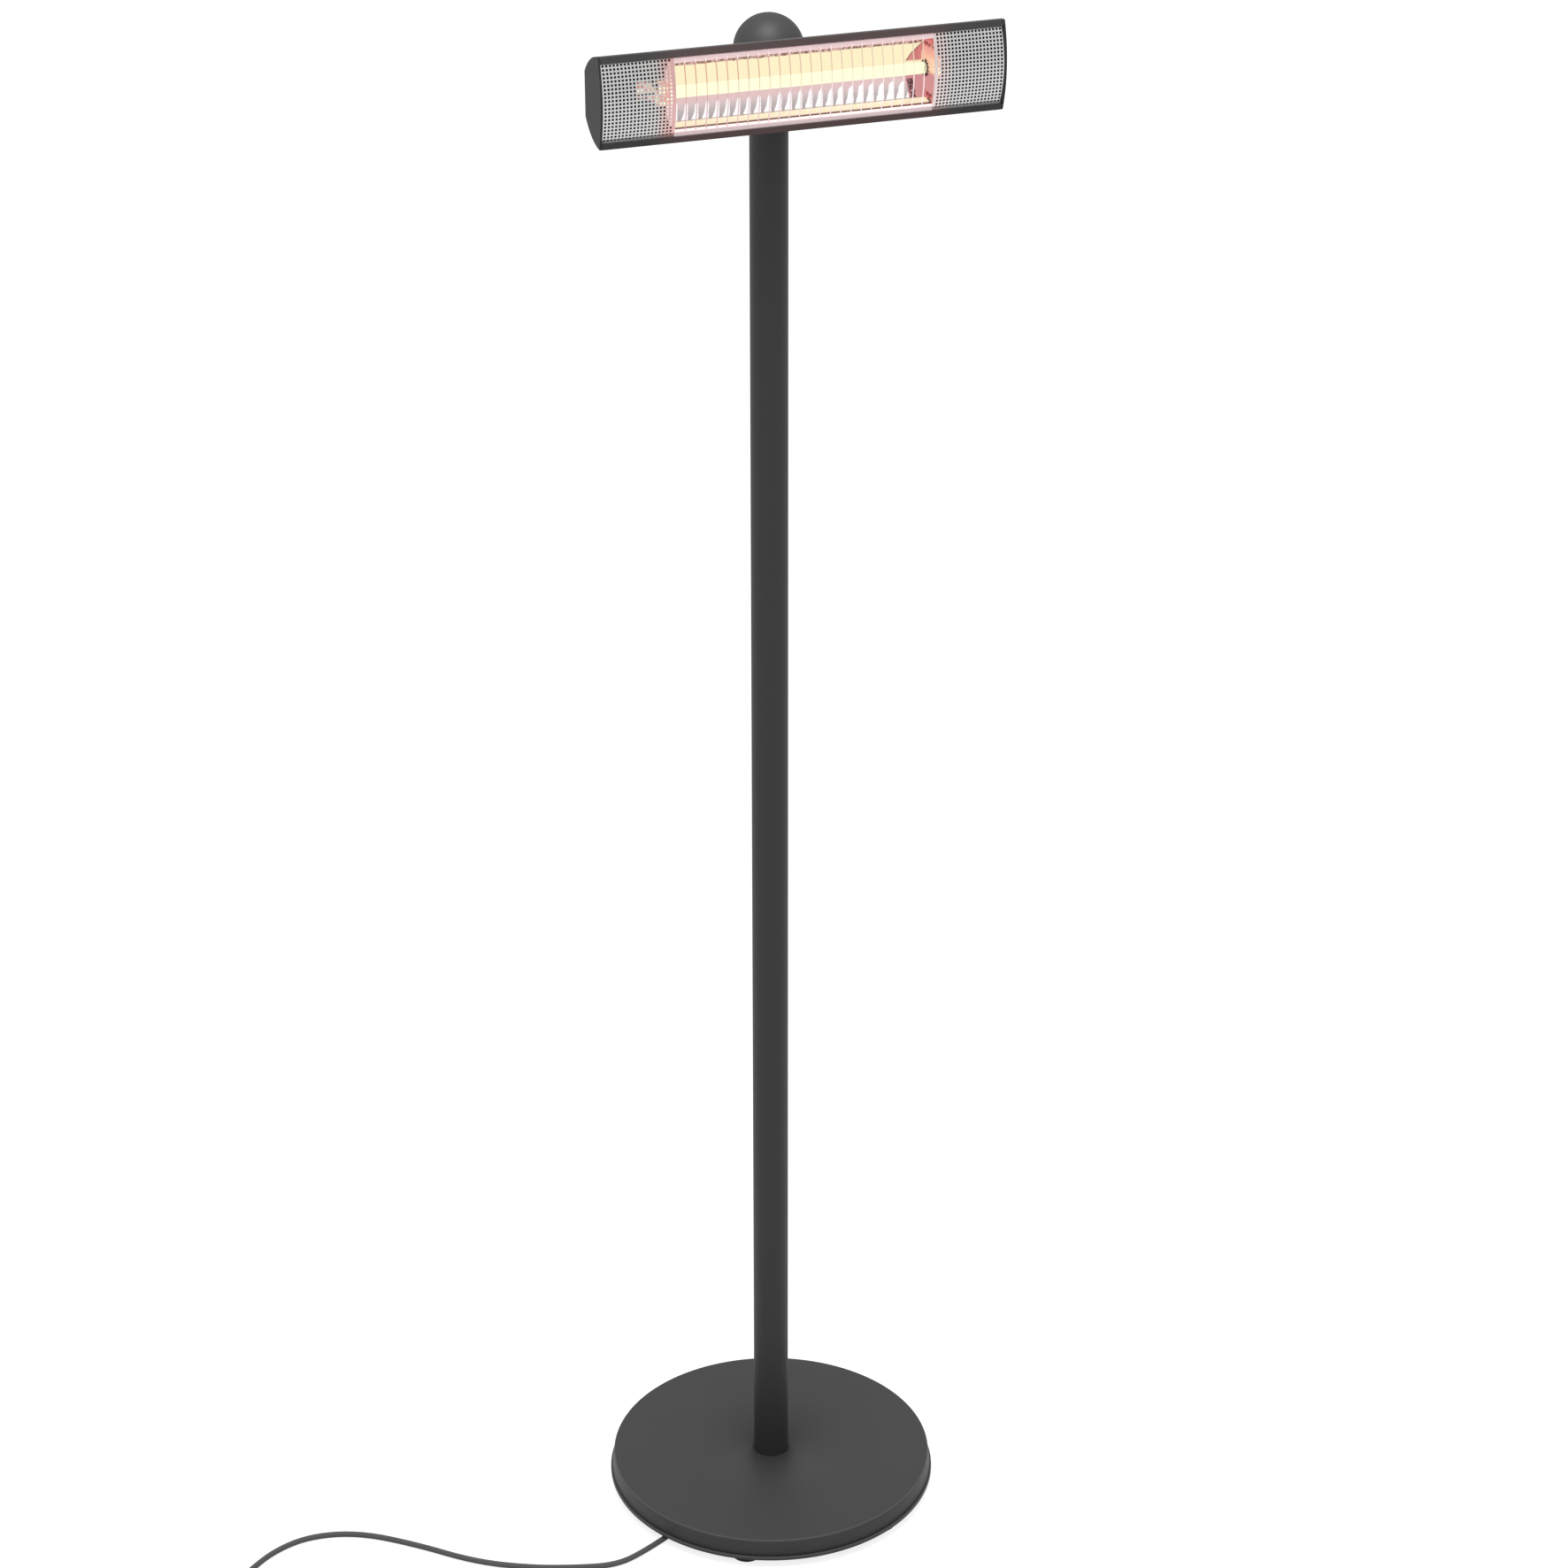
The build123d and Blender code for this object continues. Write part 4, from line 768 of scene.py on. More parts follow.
def eased(node, body, slot, finish, ease):
    """A solid's own shape with its edges eased as a mould or a file leaves them."""
    mesh = bpy.data.meshes.new(node + "_eased")
    work = bmesh.new()
    work.from_mesh(cad_nodes[node].data)
    bmesh.ops.remove_doubles(work, verts=work.verts, dist=1e-6)
    bmesh.ops.dissolve_limit(work, angle_limit=radians(0.5), verts=work.verts, edges=work.edges)
    work.to_mesh(mesh)
    work.free()
    mesh.materials.append(finish.material)
    tidy_mesh(mesh, 35.0, ease * MM, 40.0)
    return fit(keep(node + "_eased", mesh), body, slot, node)


# ---- building with geometry nodes
class Tree(Graph):
    """A geometry node tree whose result is realized and given its finish."""

    def __init__(self, name, **inputs):
        super().__init__(bpy.data.node_groups.new(name, "GeometryNodeTree"))
        face = self.tree.interface
        for label, kind in {"geometry": "Geometry", **inputs, "finish": "Material"}.items():
            face.new_socket(label.title(), in_out="INPUT", socket_type="NodeSocket" + kind)
        face.new_socket("Geometry", in_out="OUTPUT", socket_type="NodeSocketGeometry")
        entry = self.tree.nodes.new("NodeGroupInput")
        self.entry = {socket.name.lower(): Signal(self, socket) for socket in entry.outputs}

    def copies(self, points, label, **inputs):
        """Copies on points of the piece that an input of the tree names."""
        piece = self.add("GeometryNodeObjectInfo", "Geometry", object=self.entry[label])
        return self.add("GeometryNodeInstanceOnPoints", points=points, instance=piece, **inputs)

    def join(self, *parts):
        node = self.tree.nodes.new("GeometryNodeJoinGeometry")
        for part in parts:
            self.link(part, node.inputs[0])
        return Signal(self, node.outputs[0])

    def end(self, geometry):
        real = self.add("GeometryNodeRealizeInstances", geometry=geometry)
        done = self.add("GeometryNodeSetMaterial", geometry=real, material=self.entry["finish"])
        self.node("NodeGroupOutput", geometry=done)
        return self

    def run(self, name, carrier=None, **values):
        """Keeps what the tree makes of a carrier mesh as a plain mesh, and drops the source pieces."""
        piece = keep(name, carrier or bpy.data.meshes.new(name))
        modifier = piece.modifiers.new("nodes", "NODES")
        modifier.node_group = self.tree
        for item in self.tree.interface.items_tree:
            key = item.name.lower()
            if item.in_out == "INPUT" and key in values:
                modifier[item.identifier] = values[key]
        settled(piece)
        for value in values.values():
            if isinstance(value, bpy.types.Object):
                bpy.data.objects.remove(value)
        return piece


def copies_tree():
    """Copies of one piece on the carrier's points, each turned by the points' own attribute."""
    tree = Tree("copies", piece="Object")
    vectors = ("data_type", "FLOAT_VECTOR")
    turn = tree.add("GeometryNodeInputNamedAttribute", "Attribute", vectors, name="turn")
    return tree.end(tree.copies(tree.entry["geometry"], "piece", rotation=turn))


def row_tree():
    """Copies of one piece in a straight row along X, centred."""
    tree = Tree("row", piece="Object", count="Int", pitch="Float")
    count, pitch = tree.entry["count"], tree.entry["pitch"]
    first = tree.add("ShaderNodeCombineXYZ", x=(count - 1.0) * pitch * -0.5)
    offset = tree.add("ShaderNodeCombineXYZ", x=pitch)
    line = tree.add("GeometryNodeMeshLine", count=count, start_location=first, offset=offset)
    return tree.end(tree.copies(line, "piece"))


def wound_tree():
    """Coil of round wire along X."""
    tree = Tree("wound", turns="Float", radius="Float", length="Float", wire="Float", place="Vector")
    entry = tree.entry
    spiral = tree.add(
        "GeometryNodeCurveSpiral",
        resolution=20,
        rotations=entry["turns"],
        start_radius=entry["radius"],
        end_radius=entry["radius"],
        height=entry["length"],
    )
    section = tree.add("GeometryNodeCurvePrimitiveCircle", resolution=8, radius=entry["wire"])
    wire = tree.add("GeometryNodeCurveToMesh", curve=spiral, profile_curve=section, fill_caps=True)
    laid = tree.add("GeometryNodeTransform", geometry=wire, rotation=(0, pi / 2, 0))
    return tree.end(tree.add("GeometryNodeTransform", geometry=laid, translation=entry["place"]))


def punched_tree():
    """Flat punched tiles on two grids, joined to the carrier's plain strips and bent about X."""
    counts = {"columns": "Int", "rows": "Int"}
    tree = Tree("punched", tile="Object", **counts, pitch="Float", middle="Float", radius="Float")
    entry = tree.entry
    columns, rows, pitch, radius = (entry[label] for label in ("columns", "rows", "pitch", "radius"))
    grid = tree.add(
        "GeometryNodeMeshGrid",
        size_x=(columns - 1.0) * pitch,
        size_y=(rows - 1.0) * pitch,
        vertices_x=columns,
        vertices_y=rows,
    )
    grids = []
    for side, _ in SIDES:
        offset = tree.add("ShaderNodeCombineXYZ", x=entry["middle"] * float(side))
        grids.append(tree.add("GeometryNodeTransform", geometry=grid, translation=offset))
    tiles = tree.copies(tree.join(*grids), "tile")
    flat = tree.join(entry["geometry"], tree.add("GeometryNodeRealizeInstances", geometry=tiles))
    welded = tree.add("GeometryNodeMergeByDistance", geometry=flat, distance=0.00002)
    x, y, z = tree.split(tree.add("GeometryNodeInputPosition"))
    angle = y / radius
    reach = radius + z
    forward = reach * tree.maths("COSINE", angle)
    height = reach * tree.maths("SINE", angle)
    bent = tree.add("ShaderNodeCombineXYZ", x=x, y=SHEET_AXIS * MM - forward, z=height + HEAD_Z * MM)
    return tree.end(tree.add("GeometryNodeSetPosition", geometry=welded, position=bent))


def spread(name, source, places, finish):
    """Copies of a source piece at places in millimetres, each with a turn in radians."""
    mesh = plain_mesh(name, [place for place, _ in places])
    turns = mesh.attributes.new("turn", "FLOAT_VECTOR", "POINT")
    for item, (_, turn) in zip(turns.data, places):
        item.vector = turn
    return COPIES.run(name, mesh, piece=source, finish=finish.material)


# ---- base
def base_plate(finish):
    low, top, radius = PLATE_LOW, PLATE_TOP, PLATE_RADIUS
    return turned("base_plate_turned", [
        (PLATE_BORE, low), (radius - 0.8, low), (radius - 0.25, low + 0.25), (radius, low + 0.8),
        (radius, top - 1.4), (radius - 0.3, top - 0.6), (radius - 1.1, top), (PLATE_BORE, top),
    ], finish, 192)


def base_cover(finish):
    """Thin spun cover: straight skirt, rounded shoulder, flat top, collar round the pole."""
    top, shoulder, collar = COVER_TOP_Z, COVER_TOP - COVER_BEND, POLE_RADIUS + 0.2
    half_way = 120.0
    profile = [(COVER_BOTTOM - WALL, PLATE_TOP + 0.9), (COVER_BOTTOM - 0.5, PLATE_TOP + 0.9)]
    profile += [(COVER_BOTTOM - 0.05, PLATE_TOP + 1.4)]
    for angle in evenly(0.0, pi / 2, 8):
        profile.append((shoulder + COVER_BEND * cos(angle), top - COVER_BEND + COVER_BEND * sin(angle)))
    profile += [(half_way, top), (collar + 0.7, top), (collar, top - 0.7)]
    profile += [(collar, top - WALL), (half_way, top - WALL), (shoulder, top - WALL)]
    return turned("base_cover_turned", profile, finish, 192, 50.0)


def pole(finish):
    inner, ease = POLE_RADIUS - POLE_WALL, 0.4
    return turned("pole_turned", [
        (POLE_RADIUS, POLE_LOW), (POLE_RADIUS, 1000.0), (POLE_RADIUS, POLE_TOP - ease),
        (POLE_RADIUS - ease, POLE_TOP), (inner, POLE_TOP), (inner, POLE_LOW),
    ], finish, 96)


def foot(finish):
    """One rubber foot with a chamfered tread, a rounded top and a recess for its screw."""
    radius, top, screw_head, screw = FOOT_RADIUS, PLATE_LOW, 5.0, 2.7
    return turned("foot_source", [
        (screw_head, 0.0), (radius - 2.5, 0.0), (radius - 1.0, 0.7), (radius - 0.4, 1.8), (radius, 3.0),
        (radius, top - 1.6), (radius - 0.5, top - 0.5), (radius - 1.6, top), (screw, top),
        (screw, FOOT_RECESS), (screw_head, FOOT_RECESS),
    ], finish, 40)


def cross_screw(name, finish, shank, head, height, length):
    """Pan head screw with a cross recess, standing on z 0 with its shank below."""
    rim = 0.35
    profile = [(0.0, -length), (shank, -length), (shank, 0.0), (head, 0.0), (head, height * rim)]
    for angle in evenly(0.0, pi / 2, 5)[1:]:
        profile.append((head * cos(angle), height * (rim + (1 - rim) * sin(angle))))
    screw = turned(name, profile, finish, 24)
    arm, width = head * 0.62, head * 0.2
    corners, quarter = [], [(width, width), (width, arm), (-width, arm)]
    for _ in range(4):
        corners += quarter
        quarter = [(-y, x) for x, y in quarter]
    low, high = ([(x, y, height * share) for x, y in corners] for share in (0.45, 1.3))
    return cut(screw, prism(name + "_cross", low, high, finish))


# ---- ball and head shell
def ball_half(name, low, high, finish):
    """Half of the ball's shell between two latitudes in degrees."""
    angles = [radians(angle) for angle in evenly(low, high, 28)]
    inner, reach = BALL_RADIUS - BALL_WALL, 90.0
    profile = [(BALL_RADIUS * cos(a), BALL_Z + BALL_RADIUS * sin(a)) for a in angles]
    profile += [(inner * cos(a), BALL_Z + inner * sin(a)) for a in reversed(angles)]
    down, up = radians(SLOT_DOWN), radians(SLOT_UP)
    outline = [
        (0.0, BALL_Z), (-reach * cos(down), BALL_Z - reach * sin(down)),
        (-reach, BALL_Z), (-reach * cos(up), BALL_Z + reach * sin(up)),
    ]
    slot = along_x(name + "_slot", outline, -SLOT_HALF, SLOT_HALF, finish)
    return cut(turned(name, profile, finish, 96), slot)


def housing(finish):
    """Open extrusion: curved front lips, curved sides and a flat back, two millimetres thick."""
    front, low, high = head_outline()
    _, low_in, high_in = head_outline(WALL)
    front = sorted(front, key=lambda p: -p[1])
    lower_lip = [p for p in front if p[1] < -LIP_INNER - 0.01]
    upper_lip = [p for p in front if p[1] > LIP_INNER + 0.01]
    arc_radius = (HEAD_HALF ** 2 + FRONT_RISE ** 2) / (2 * FRONT_RISE)
    lip_y = HEAD_FRONT - FRONT_RISE + arc_radius - sqrt(arc_radius ** 2 - LIP_INNER ** 2)
    sheet_y = on_arc(SHEET_RADIUS, LIP_INNER)
    groove_y = on_arc(SHEET_RADIUS, SHEET_EDGE)
    back, back_half = HEAD_BACK - WALL, HEAD_BACK_HALF - WALL
    outline = [(sheet_y, -LIP_INNER), (lip_y, -LIP_INNER)] + lower_lip + low[1:]
    outline += high[:-1] + upper_lip + [(lip_y, LIP_INNER), (sheet_y, LIP_INNER)]
    outline += [(groove_y, SHEET_EDGE)]
    outline += [p for p in reversed(high_in) if p[0] > groove_y + 1.0][:-1]
    outline += [(back, back_half), (back, -back_half)]
    outline += [p for p in reversed(low_in) if p[0] > groove_y + 1.0][1:]
    outline += [(groove_y, -SHEET_EDGE)]
    return along_x("housing_drawn", lifted(outline), -HOUSING_HALF, HOUSING_HALF, finish, 0.25)


def end_cap(side, name, finish):
    front, low, high = head_outline()
    outline = front[:-1] + low + high[:-1]
    near, far = sorted((side * HOUSING_HALF, side * (HOUSING_HALF + CAP_THICKNESS)))
    return along_x(f"end_cap_{name}_moulded", lifted(outline), near, far, finish, 0.6)


# ---- grille
def tile(finish):
    """Flat punched tile, one pitch square: front, back and the walls of its hole."""
    half, hole, corner = HOLE_PITCH / 2, HOLE_SIZE / 2, HOLE_CORNER
    rim = [(-half, -half), (half, -half), (half, half), (-half, half)]
    ring = []
    for x, y in ((-1, -1), (1, -1), (1, 1), (-1, 1)):
        first = (x * hole, y * (hole - corner))
        second = (x * (hole - corner), y * hole)
        ring += [first, second] if x * y > 0 else [second, first]
    points, faces = [], []
    for level in (0.0, -SHEET_THICKNESS):
        start = len(points)
        points += [(x, y, level) for x, y in rim + ring]
        for i in range(4):
            j = (i + 1) % 4
            a, b, c = (start + 4 + (2 * i + step) % 8 for step in (0, 1, 2))
            faces += [(start + i, b, a), (start + i, start + j, c, b)]
    for i in range(4, 12):
        j = i + 1 if i < 11 else 4
        faces.append((i, j, j + 12, i + 12))
    return shape("tile_source", points, faces, finish)


def sheet_strips():
    """Plain parts of the sheet, still flat: strips beside the holes and the window's rolled edges."""
    edge = SHEET_RADIUS * asin(SHEET_EDGE / SHEET_RADIUS)
    roll = SHEET_RADIUS * asin(WINDOW_HALF_HEIGHT / SHEET_RADIUS) + WINDOW_ROLL
    rows = HOLE_ROWS * HOLE_PITCH / 2
    last = FIRST_COLUMN - (HOLE_COLUMNS - 1) * HOLE_PITCH - HOLE_PITCH / 2
    first = FIRST_COLUMN + HOLE_PITCH / 2
    back = -SHEET_THICKNESS
    points, faces = [], []

    def band(pairs):
        faces.extend(bridge(len(pairs), 2, closed=False, section_open=True, start=len(points)))
        for pair in pairs:
            points.extend(pair)

    def strip(side, x0, x1, v0, v1):
        low, high = sorted((side * x0, side * x1))
        for level in (0.0, back):
            heights = evenly(v0, v1, ceil((v1 - v0) / HOLE_PITCH))
            band([((low, v, level), (high, v, level)) for v in heights])

    for side, _ in SIDES:
        strip(side, WINDOW_HALF, last, -edge, edge)
        strip(side, first, SHEET_HALF, -edge, edge)
        strip(side, last, first, rows, edge)
        strip(side, last, first, -edge, -rows)
        x = side * WINDOW_HALF
        band([((x, v, 0.0), (x, v, back)) for v in evenly(-roll, roll, 20)])

    section = [(edge, 0.0), ((edge + roll) / 2, 0.0)]
    for radius, angles in ((WINDOW_ROLL, (0.0, pi / 2)), (WINDOW_ROLL + back, (pi / 2, 0.0))):
        for angle in evenly(*angles, 8):
            section.append((roll - radius * sin(angle), radius * cos(angle) - WINDOW_ROLL))
    section += [((edge + roll) / 2, back), (edge, back)]
    for up in (-1, 1):
        start, count = len(points), len(section)
        for x in (-WINDOW_HALF, WINDOW_HALF):
            points.extend([(x, up * v, level) for v, level in section])
        faces += bridge(2, count, closed=False, start=start) + caps(2, count, start)
    return plain_mesh("sheet_strips", points, faces)


def front_grille(finish):
    return punched_tree().run(
        "grille_sheet",
        sheet_strips(),
        tile=tile(finish),
        columns=HOLE_COLUMNS,
        rows=HOLE_ROWS,
        pitch=HOLE_PITCH * MM,
        middle=(FIRST_COLUMN - (HOLE_COLUMNS - 1) * HOLE_PITCH / 2) * MM,
        radius=SHEET_RADIUS * MM,
        finish=finish.material,
    )


def guard_wire(finish):
    """One guard wire: it follows the sheet's curve and steps out over the window's rolled edges."""
    inner, outer, step_from, step_length = 118.0, 121.0, 36.4, 4.0
    sides, path = 10, []
    for height in evenly(-40.8, 43.2, 48):
        share = smooth_step(min(max((abs(height) - step_from) / step_length, 0.0), 1.0))
        path.append(Vector((0.0, on_arc(inner + (outer - inner) * share, height), HEAD_Z + height)))
    points = []
    for index, centre in enumerate(path):
        before, after = path[max(index - 1, 0)], path[min(index + 1, len(path) - 1)]
        across = Vector((1, 0, 0))
        up = (after - before).normalized().cross(across)
        for angle in evenly(0.0, 2 * pi, sides)[:-1]:
            points.append(centre + (across * cos(angle) + up * sin(angle)) * WIRE_RADIUS)
    faces = bridge(len(path), sides, closed=False) + caps(len(path), sides)
    return shape("wire_source", points, faces, finish)


def guard_wires(finish):
    return row_tree().run(
        "guard_wire_row",
        piece=guard_wire(finish),
        count=WIRE_COUNT,
        pitch=WIRE_PITCH * MM,
        finish=finish.material,
    )


# ---- reflector and lamp
def reflector(finish):
    """Folded trough, with flanges behind the grille's border."""
    thick, flange_radius = TROUGH_SHEET, 116.4
    flange_back = (-119.0, 41.2)
    half = TROUGH + [(on_arc(flange_radius, z), z) for z in (42.0, 45.0, 48.0, 50.5)]
    skin = [(y, -z) for y, z in reversed(half)] + half
    back = []
    for y, z in reversed(skin[5:-5]):
        back.append((y + thick, z + (thick if z > 20 else -thick if z < -20 else 0)))
    outline = skin + [(skin[-1][0] + thick, skin[-1][1]), flange_back] + back
    outline += [(flange_back[0], -flange_back[1]), (skin[0][0] + thick, skin[0][1])]
    return along_x("reflector_folded", lifted(outline), -TROUGH_HALF, TROUGH_HALF, finish)


def reflector_end(side, name, finish):
    """Closing sheet with a round hole, cut from one piece."""
    height = TROUGH[-1][1]
    outline = TROUGH[:-1] + [(on_arc(TROUGH_FRONT, z), z) for z in evenly(height, -height, 12)]
    outline += [(y, -z) for y, z in reversed(TROUGH[:-1])]
    near, far = sorted((side * TROUGH_HALF, side * (TROUGH_HALF + TROUGH_SHEET)))
    name = f"reflector_end_{name}_sheet"
    plate = along_x(name, lifted(outline), near, far, finish)
    near, far = near - 2.0, far + 2.0
    profile = [(near, 0.0), (near, TROUGH_BORE), (far, TROUGH_BORE), (far, 0.0)]
    return cut(plate, round_bar(name + "_bore", TUBE_Y, HEAD_Z, profile, finish, 32))


def quartz_tube(finish):
    radius, half, ease = TUBE_RADIUS, TUBE_HALF, 1.5
    right = [(half - TUBE_SEAL, radius), (half - ease, radius), (half, radius - ease), (half, 0.0)]
    profile = [(-x, r) for x, r in reversed(right)] + [(0.0, radius)] + right
    return round_bar("quartz_tube_drawn", TUBE_Y, HEAD_Z, profile, finish)


def wound(name, start, length, turns, radius, wire, finish):
    return WOUND.run(
        name,
        turns=turns,
        radius=radius * MM,
        length=length * MM,
        wire=wire * MM,
        place=(start * MM, TUBE_Y * MM, HEAD_Z * MM),
        finish=finish.material,
    )


def lamp_clip(side, name, finish):
    """Spring clip on the tube's end: two turns of wire and a toothed washer that grips the tube."""
    teeth, inner, root, tip = 12, 7.2, 8.0, 11.0
    near, far = side * 160.5, side * 161.8
    points = []
    for step in range(2 * teeth):
        angle = pi * step / teeth
        outer = tip if step % 2 else root
        for x, r in ((near, inner), (near, outer), (far, outer), (far, inner)):
            points.append((x, TUBE_Y + r * cos(angle), HEAD_Z + r * sin(angle)))
    name = "lamp_clip_" + name
    length = 3.0
    start = 157.3 if side > 0 else -157.3 - length
    coil = wound(name + "_coil", start, length, 2.0, 8.0, 0.35, finish)
    washer = shape(name + "_washer", points, bridge(2 * teeth, 4), finish)
    return joined(name, washer, coil)


# ---- switch
def rocker_marks(finish):
    """Bar and ring, printed proud on the rocker's two ends."""
    turn = Matrix.Rotation(radians(ROCKER_TILT), 3, "X")
    rocker_half, face_out, face_sag = 11.5, 4.5, 1.3
    buried, proud, steps = -0.05, 0.12, 20
    points, faces = [], []

    def on_face(u, v, out):
        """u along X, v along the rocker, out from its face, turned with the rocker."""
        sag = face_sag * (1 - (v / rocker_half) ** 2)
        return Vector(ROCKER_PIVOT) + turn @ Vector((u, face_out - sag + out, v))

    def block(corners, sides):
        start = len(points)
        points.extend([on_face(u, v, out) for out in (buried, proud) for u, v in corners])
        faces.extend([tuple(start + i for i in side) for side in sides])

    block(
        [(-0.3, 5.2), (0.3, 5.2), (0.3, 8.6), (-0.3, 8.6)],
        [(0, 3, 2, 1), (4, 5, 6, 7), (0, 1, 5, 4), (1, 2, 6, 5), (2, 3, 7, 6), (3, 0, 4, 7)],
    )
    turns = evenly(0.0, 2 * pi, steps)
    for pair in zip(turns, turns[1:]):
        block(
            [(r * cos(t), -7.0 + r * sin(t)) for t in pair for r in (1.3, 1.8)],
            [(0, 1, 3, 2), (4, 6, 7, 5), (0, 4, 5, 1), (2, 3, 7, 6), (1, 5, 7, 3), (0, 2, 6, 4)],
        )
    return shape("rocker_marks", points, faces, finish)


# ---- mains cord
def smooth_step(t):
    return t * t * (3 - 2 * t)


def cord_points():
    """Route along the floor, the coil's turns inwards below and outwards above, then the plug."""
    points = [Vector(CORD_EXIT), Vector(CORD_LANDS)]
    points += [Vector((x, y, CORD_FLOOR)) for x, y in CORD_ROUTE]
    heading = (points[-1] - points[-2]).normalized()
    left = Vector((-heading.y, heading.x, 0))
    joins = points[-1] + heading * COIL_STUB
    centre = joins + left * COIL_OUTER
    first = atan2(joins.y - centre.y, joins.x - centre.x)
    last = -pi / 2 + 2 * pi * 5
    turns = (last - first) / (2 * pi)
    climb = turns - 2 * COIL_TURNS_IN
    points.append(points[-1] + heading * COIL_STUB * 0.6)
    for turn in evenly(0.0, turns, round(turns * COIL_STEPS)):
        inwards = min(turn, COIL_TURNS_IN)
        outwards = max(turn - COIL_TURNS_IN - climb, 0)
        radius = COIL_OUTER - COIL_PITCH * (inwards - outwards)
        lift = smooth_step(min(max((turn - COIL_TURNS_IN) / climb, 0), 1))
        angle = first + 2 * pi * turn
        height = CORD_FLOOR + lift * CORD_DIAMETER
        x, y = centre.x + radius * cos(angle), centre.y + radius * sin(angle)
        points.append(Vector((x, y, height)))
    end = points[-1]
    return points + [end + Vector((COIL_STUB * run, 0, 0)) for run in (0.35, 0.7, 1.0)]


def mains_cord(sheath):
    curve = bpy.data.curves.new("mains_cord_curve", "CURVE")
    curve.dimensions = "3D"
    curve.bevel_depth = CORD_DIAMETER / 2
    curve.bevel_resolution = 4
    curve.resolution_u = 6
    curve.use_fill_caps = True
    points = cord_points()
    spline = curve.splines.new("NURBS")
    spline.points.add(len(points) - 1)
    for control, point in zip(spline.points, points):
        control.co = (*point, 1.0)
    spline.order_u = 3
    spline.use_endpoint_u = True
    curve.materials.append(sheath.material)
    cord = fit(keep("mains_cord_line", curve), "root", "cord_sheath", "mains_cord", "cord_coil")


# ---- the whole tower
place_camera()
light_world()
lay_floor()
hang_light()

base_paint = base_coat()
ball_paint = ball_coat()
housing_paint = head_paint()
cap_plastic = moulded("cap_plastic", 0.040, 0.046, 0.55, 900.0, 0.15)
iron = worn_metal("cast_iron", 0.10, 0.22, 0.6, 250.0)
rubber = moulded("foot_rubber", 0.016, 0.024, 0.75, 500.0, 0.2)
zinc = worn_metal("zinc_plate", (0.45, 0.45, 0.47), 0.62, 0.32)
steel = worn_metal("plain_steel", (0.38, 0.38, 0.39), 0.52, 0.35, 300.0, (0.2, 1.0, 1.0))
black = moulded("black_plastic", 0.022, 0.030, 0.45)
sheath = moulded("cord_sheath", 0.090, 0.108, 0.6, 700.0)
brass = worn_metal("brass", (0.55, 0.38, 0.14), (0.74, 0.54, 0.24), 0.28)
turned_metal = worn_metal("turned_aluminium", (0.52, 0.52, 0.53), 0.66, 0.3, 900.0, (1.0, 1.0, 9.0))
mark_white = moulded("white_mark", (0.75, 0.75, 0.74), (0.82, 0.82, 0.81))
end_metal = lit_end_plate()
spring_metal = hot_spring()

COPIES = copies_tree()
WOUND = wound_tree()

plug = eased("plug_body", "root", "cord_sheath", black, 1.6)
strap = eased("coil_tie", "root", "cord_sheath", black, 0.35)
mains_cord(sheath)
eased("cord_boot", "root", "cord_sheath", sheath, 0.6)
eased("tilt_arm", "head", "painted_housing", housing_paint, 0.8)
eased("switch_frame", "head", "black_plastic", black, 0.35)
eased("rocker", "rocker", "black_plastic", black, 0.3)

fit(base_plate(base_paint), "root", "painted_base", "base_plate")
fit(base_cover(base_paint), "root", "painted_base", "base_cover")
fit(pole(pole_paint()), "root", "painted_pole", "pole")
fit(ball_half("ball_lower_shell", BALL_FOOT, 0.0, ball_paint), "root", "painted_ball", "ball_lower")
fit(ball_half("ball_upper_shell", 0.0, BALL_CROWN, ball_paint), "root", "painted_ball", "ball_upper")

foot_turns = [radians(-60 + 360 / FOOT_COUNT * i) for i in range(FOOT_COUNT)]
foot_spots = [(FOOT_RING * cos(t), FOOT_RING * sin(t)) for t in foot_turns]
feet = spread("feet_set", foot(rubber), [((x, y, 0), (0, 0, 0)) for x, y in foot_spots], rubber)
fit(feet, "root", "foot_rubber", "rubber_feet")
screw = cross_screw("foot_screw_source", zinc, shank=2.5, head=4.75, height=3.0, length=20.0)
screw_spots = [((x, y, FOOT_RECESS), (pi, 0, 0)) for x, y in foot_spots]
screws = spread("foot_screw_set", screw, screw_spots, zinc)
fit(screws, "root", "zinc_screws", "foot_screws")

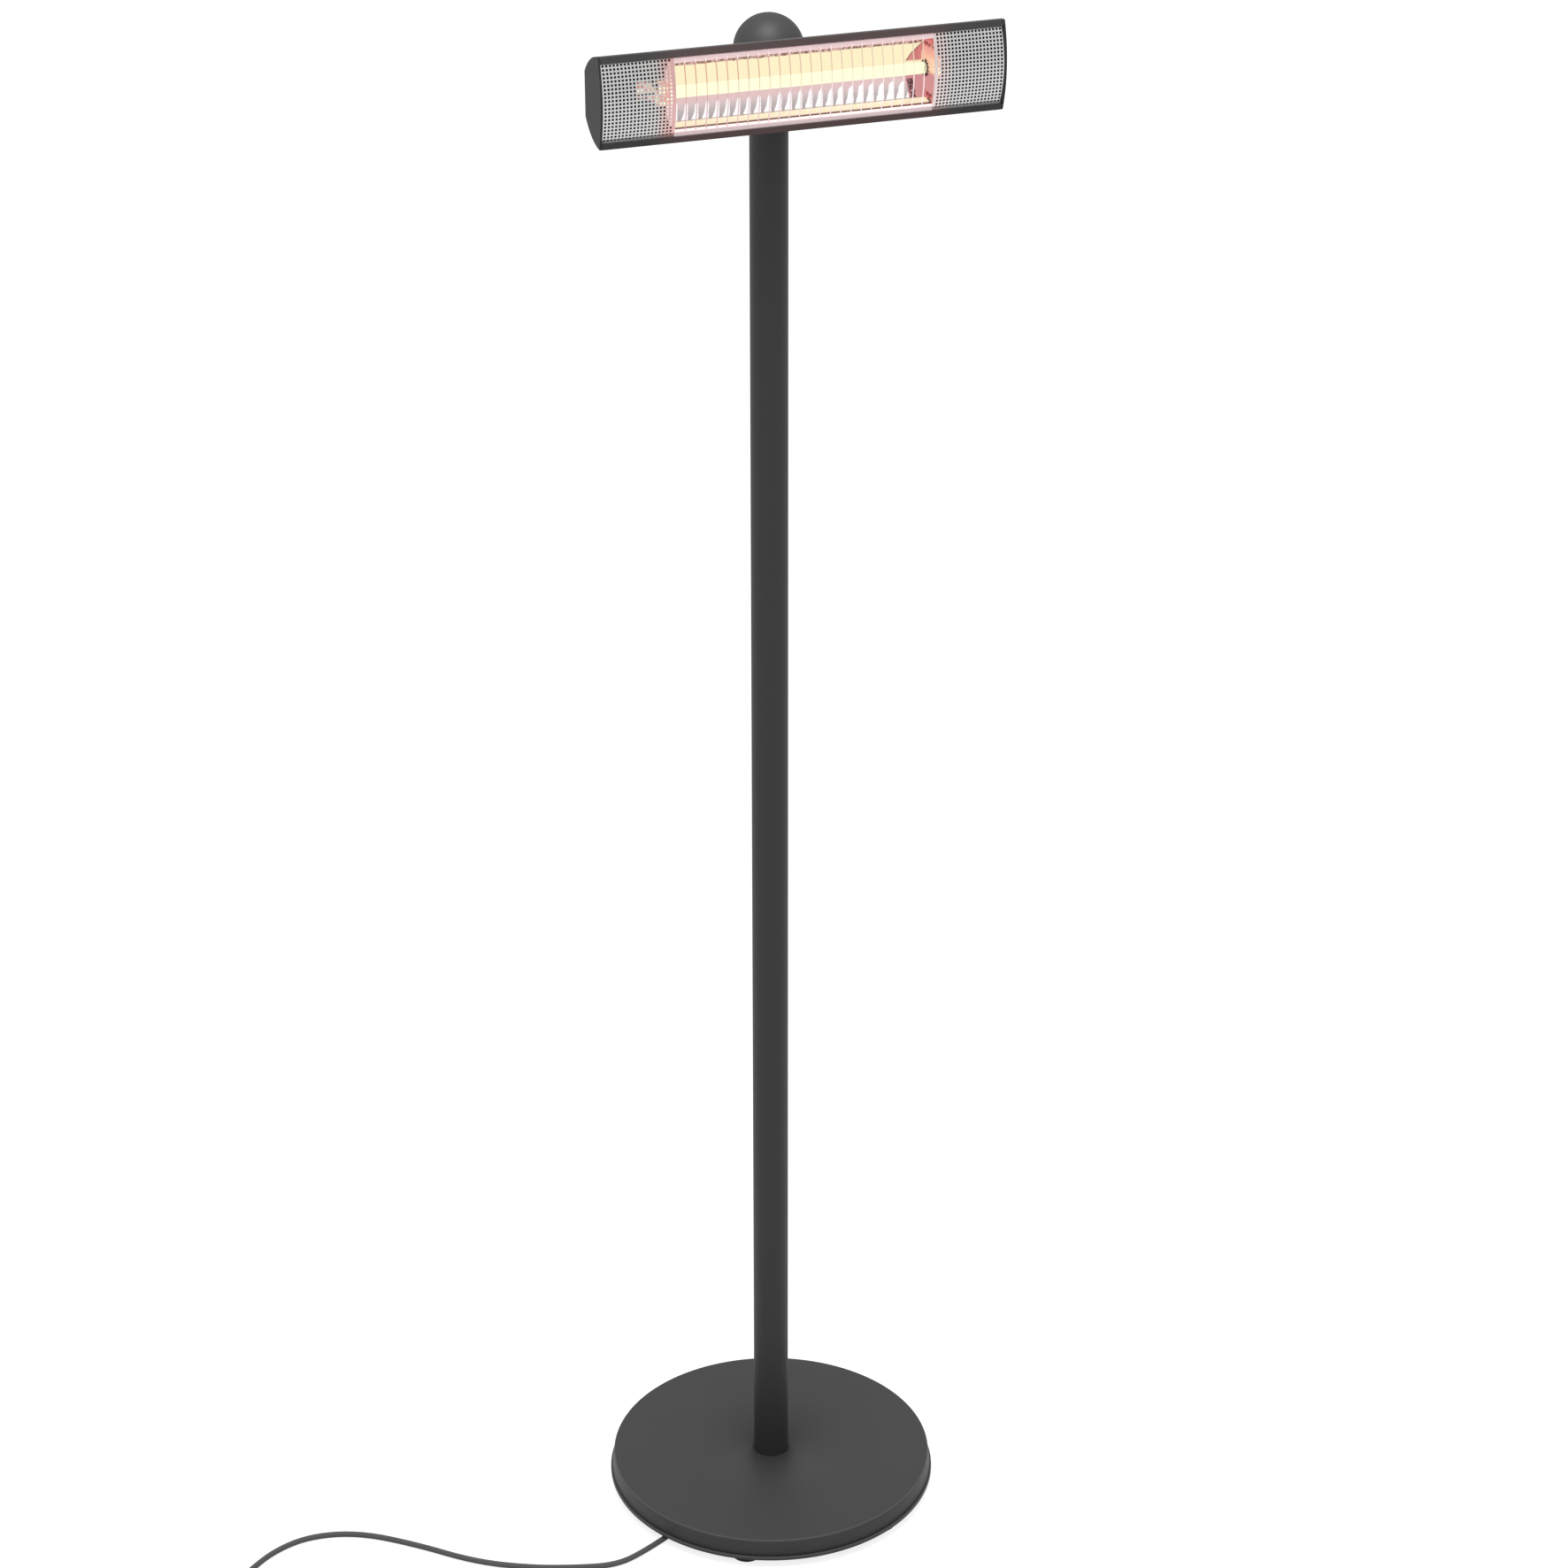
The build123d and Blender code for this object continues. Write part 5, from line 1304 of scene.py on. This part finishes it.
fit(housing(housing_paint), "head", "painted_housing", "housing")
for side, name in SIDES:
    fit(end_cap(side, name, cap_plastic), "head", "cap_plastic", "end_cap_" + name)
fit(front_grille(bright_sheet()), "head", "bright_grille", "front_grille")
fit(guard_wires(hot_wire()), "head", "bright_grille", "guard_wires")
fit(reflector(lit_reflector()), "head", "mirror_reflector", "reflector")
for side, name in SIDES:
    fit(reflector_end(side, name, end_metal), "head", "mirror_reflector", "reflector_end_" + name)
fit(quartz_tube(glowing_tube()), "head", "quartz_glass", "quartz_tube")
coil = wound("filament_coil", -150.0, 300.0, 110.0, 0.85, 0.3, hot_coil())
fit(coil, "head", "hot_filament", "filament")
for side, name in SIDES:
    fit(lamp_clip(side, name, spring_metal), "head", "spring_steel", "lamp_spring_" + name)

arm_bolt = cross_screw("arm_bolt_source", zinc, shank=2.5, head=4.25, height=3.5, length=9.0)
cap_screw = cross_screw("cap_screw_source", zinc, shank=1.5, head=2.9, height=1.8, length=8.0)
for name, screw, place in (
    ("arm_bolt", arm_bolt, ARM_BOLT_PLACES),
    ("cap_screw", cap_screw, CAP_SCREW_PLACES),
):
    x, y, z = place
    spots = [((side * x, y, HEAD_Z + up * z), (-pi / 2, 0, 0)) for side in (-1, 1) for up in (-1, 1)]
    fit(spread(name + "_set", screw, spots, zinc), "head", "zinc_screws", name + "s")
fit(rocker_marks(mark_white), "rocker", "ceramic")

dressed = {
    iron: ["base_weight"],
    rubber: ["lead_grommet"],
    zinc: [
        "flange_bolts", "tip_switch_screws", "gland_screws", "hinge_bolt", "hinge_nut", "hinge_washers",
        "disc_springs",
    ],
    steel: ["pole_flange", "backing_plate"],
    hot_bracket(): ["holder_bracket_left", "holder_bracket_right"],
    black: ["tip_over_switch", "cable_gland", "friction_washers", "terminal_block"],
    sheath: ["supply_lead", "head_lead", "lamp_leads"],
    brass: ["plug_pins"],
    turned_metal: ["hinge_yoke"],
    hot_ceramic(): ["lamp_holder_left", "lamp_holder_right"],
}
for finish, names in dressed.items():
    for name in names:
        materials = cad_nodes[name].data.materials
        materials.clear()
        materials.append(finish.material)
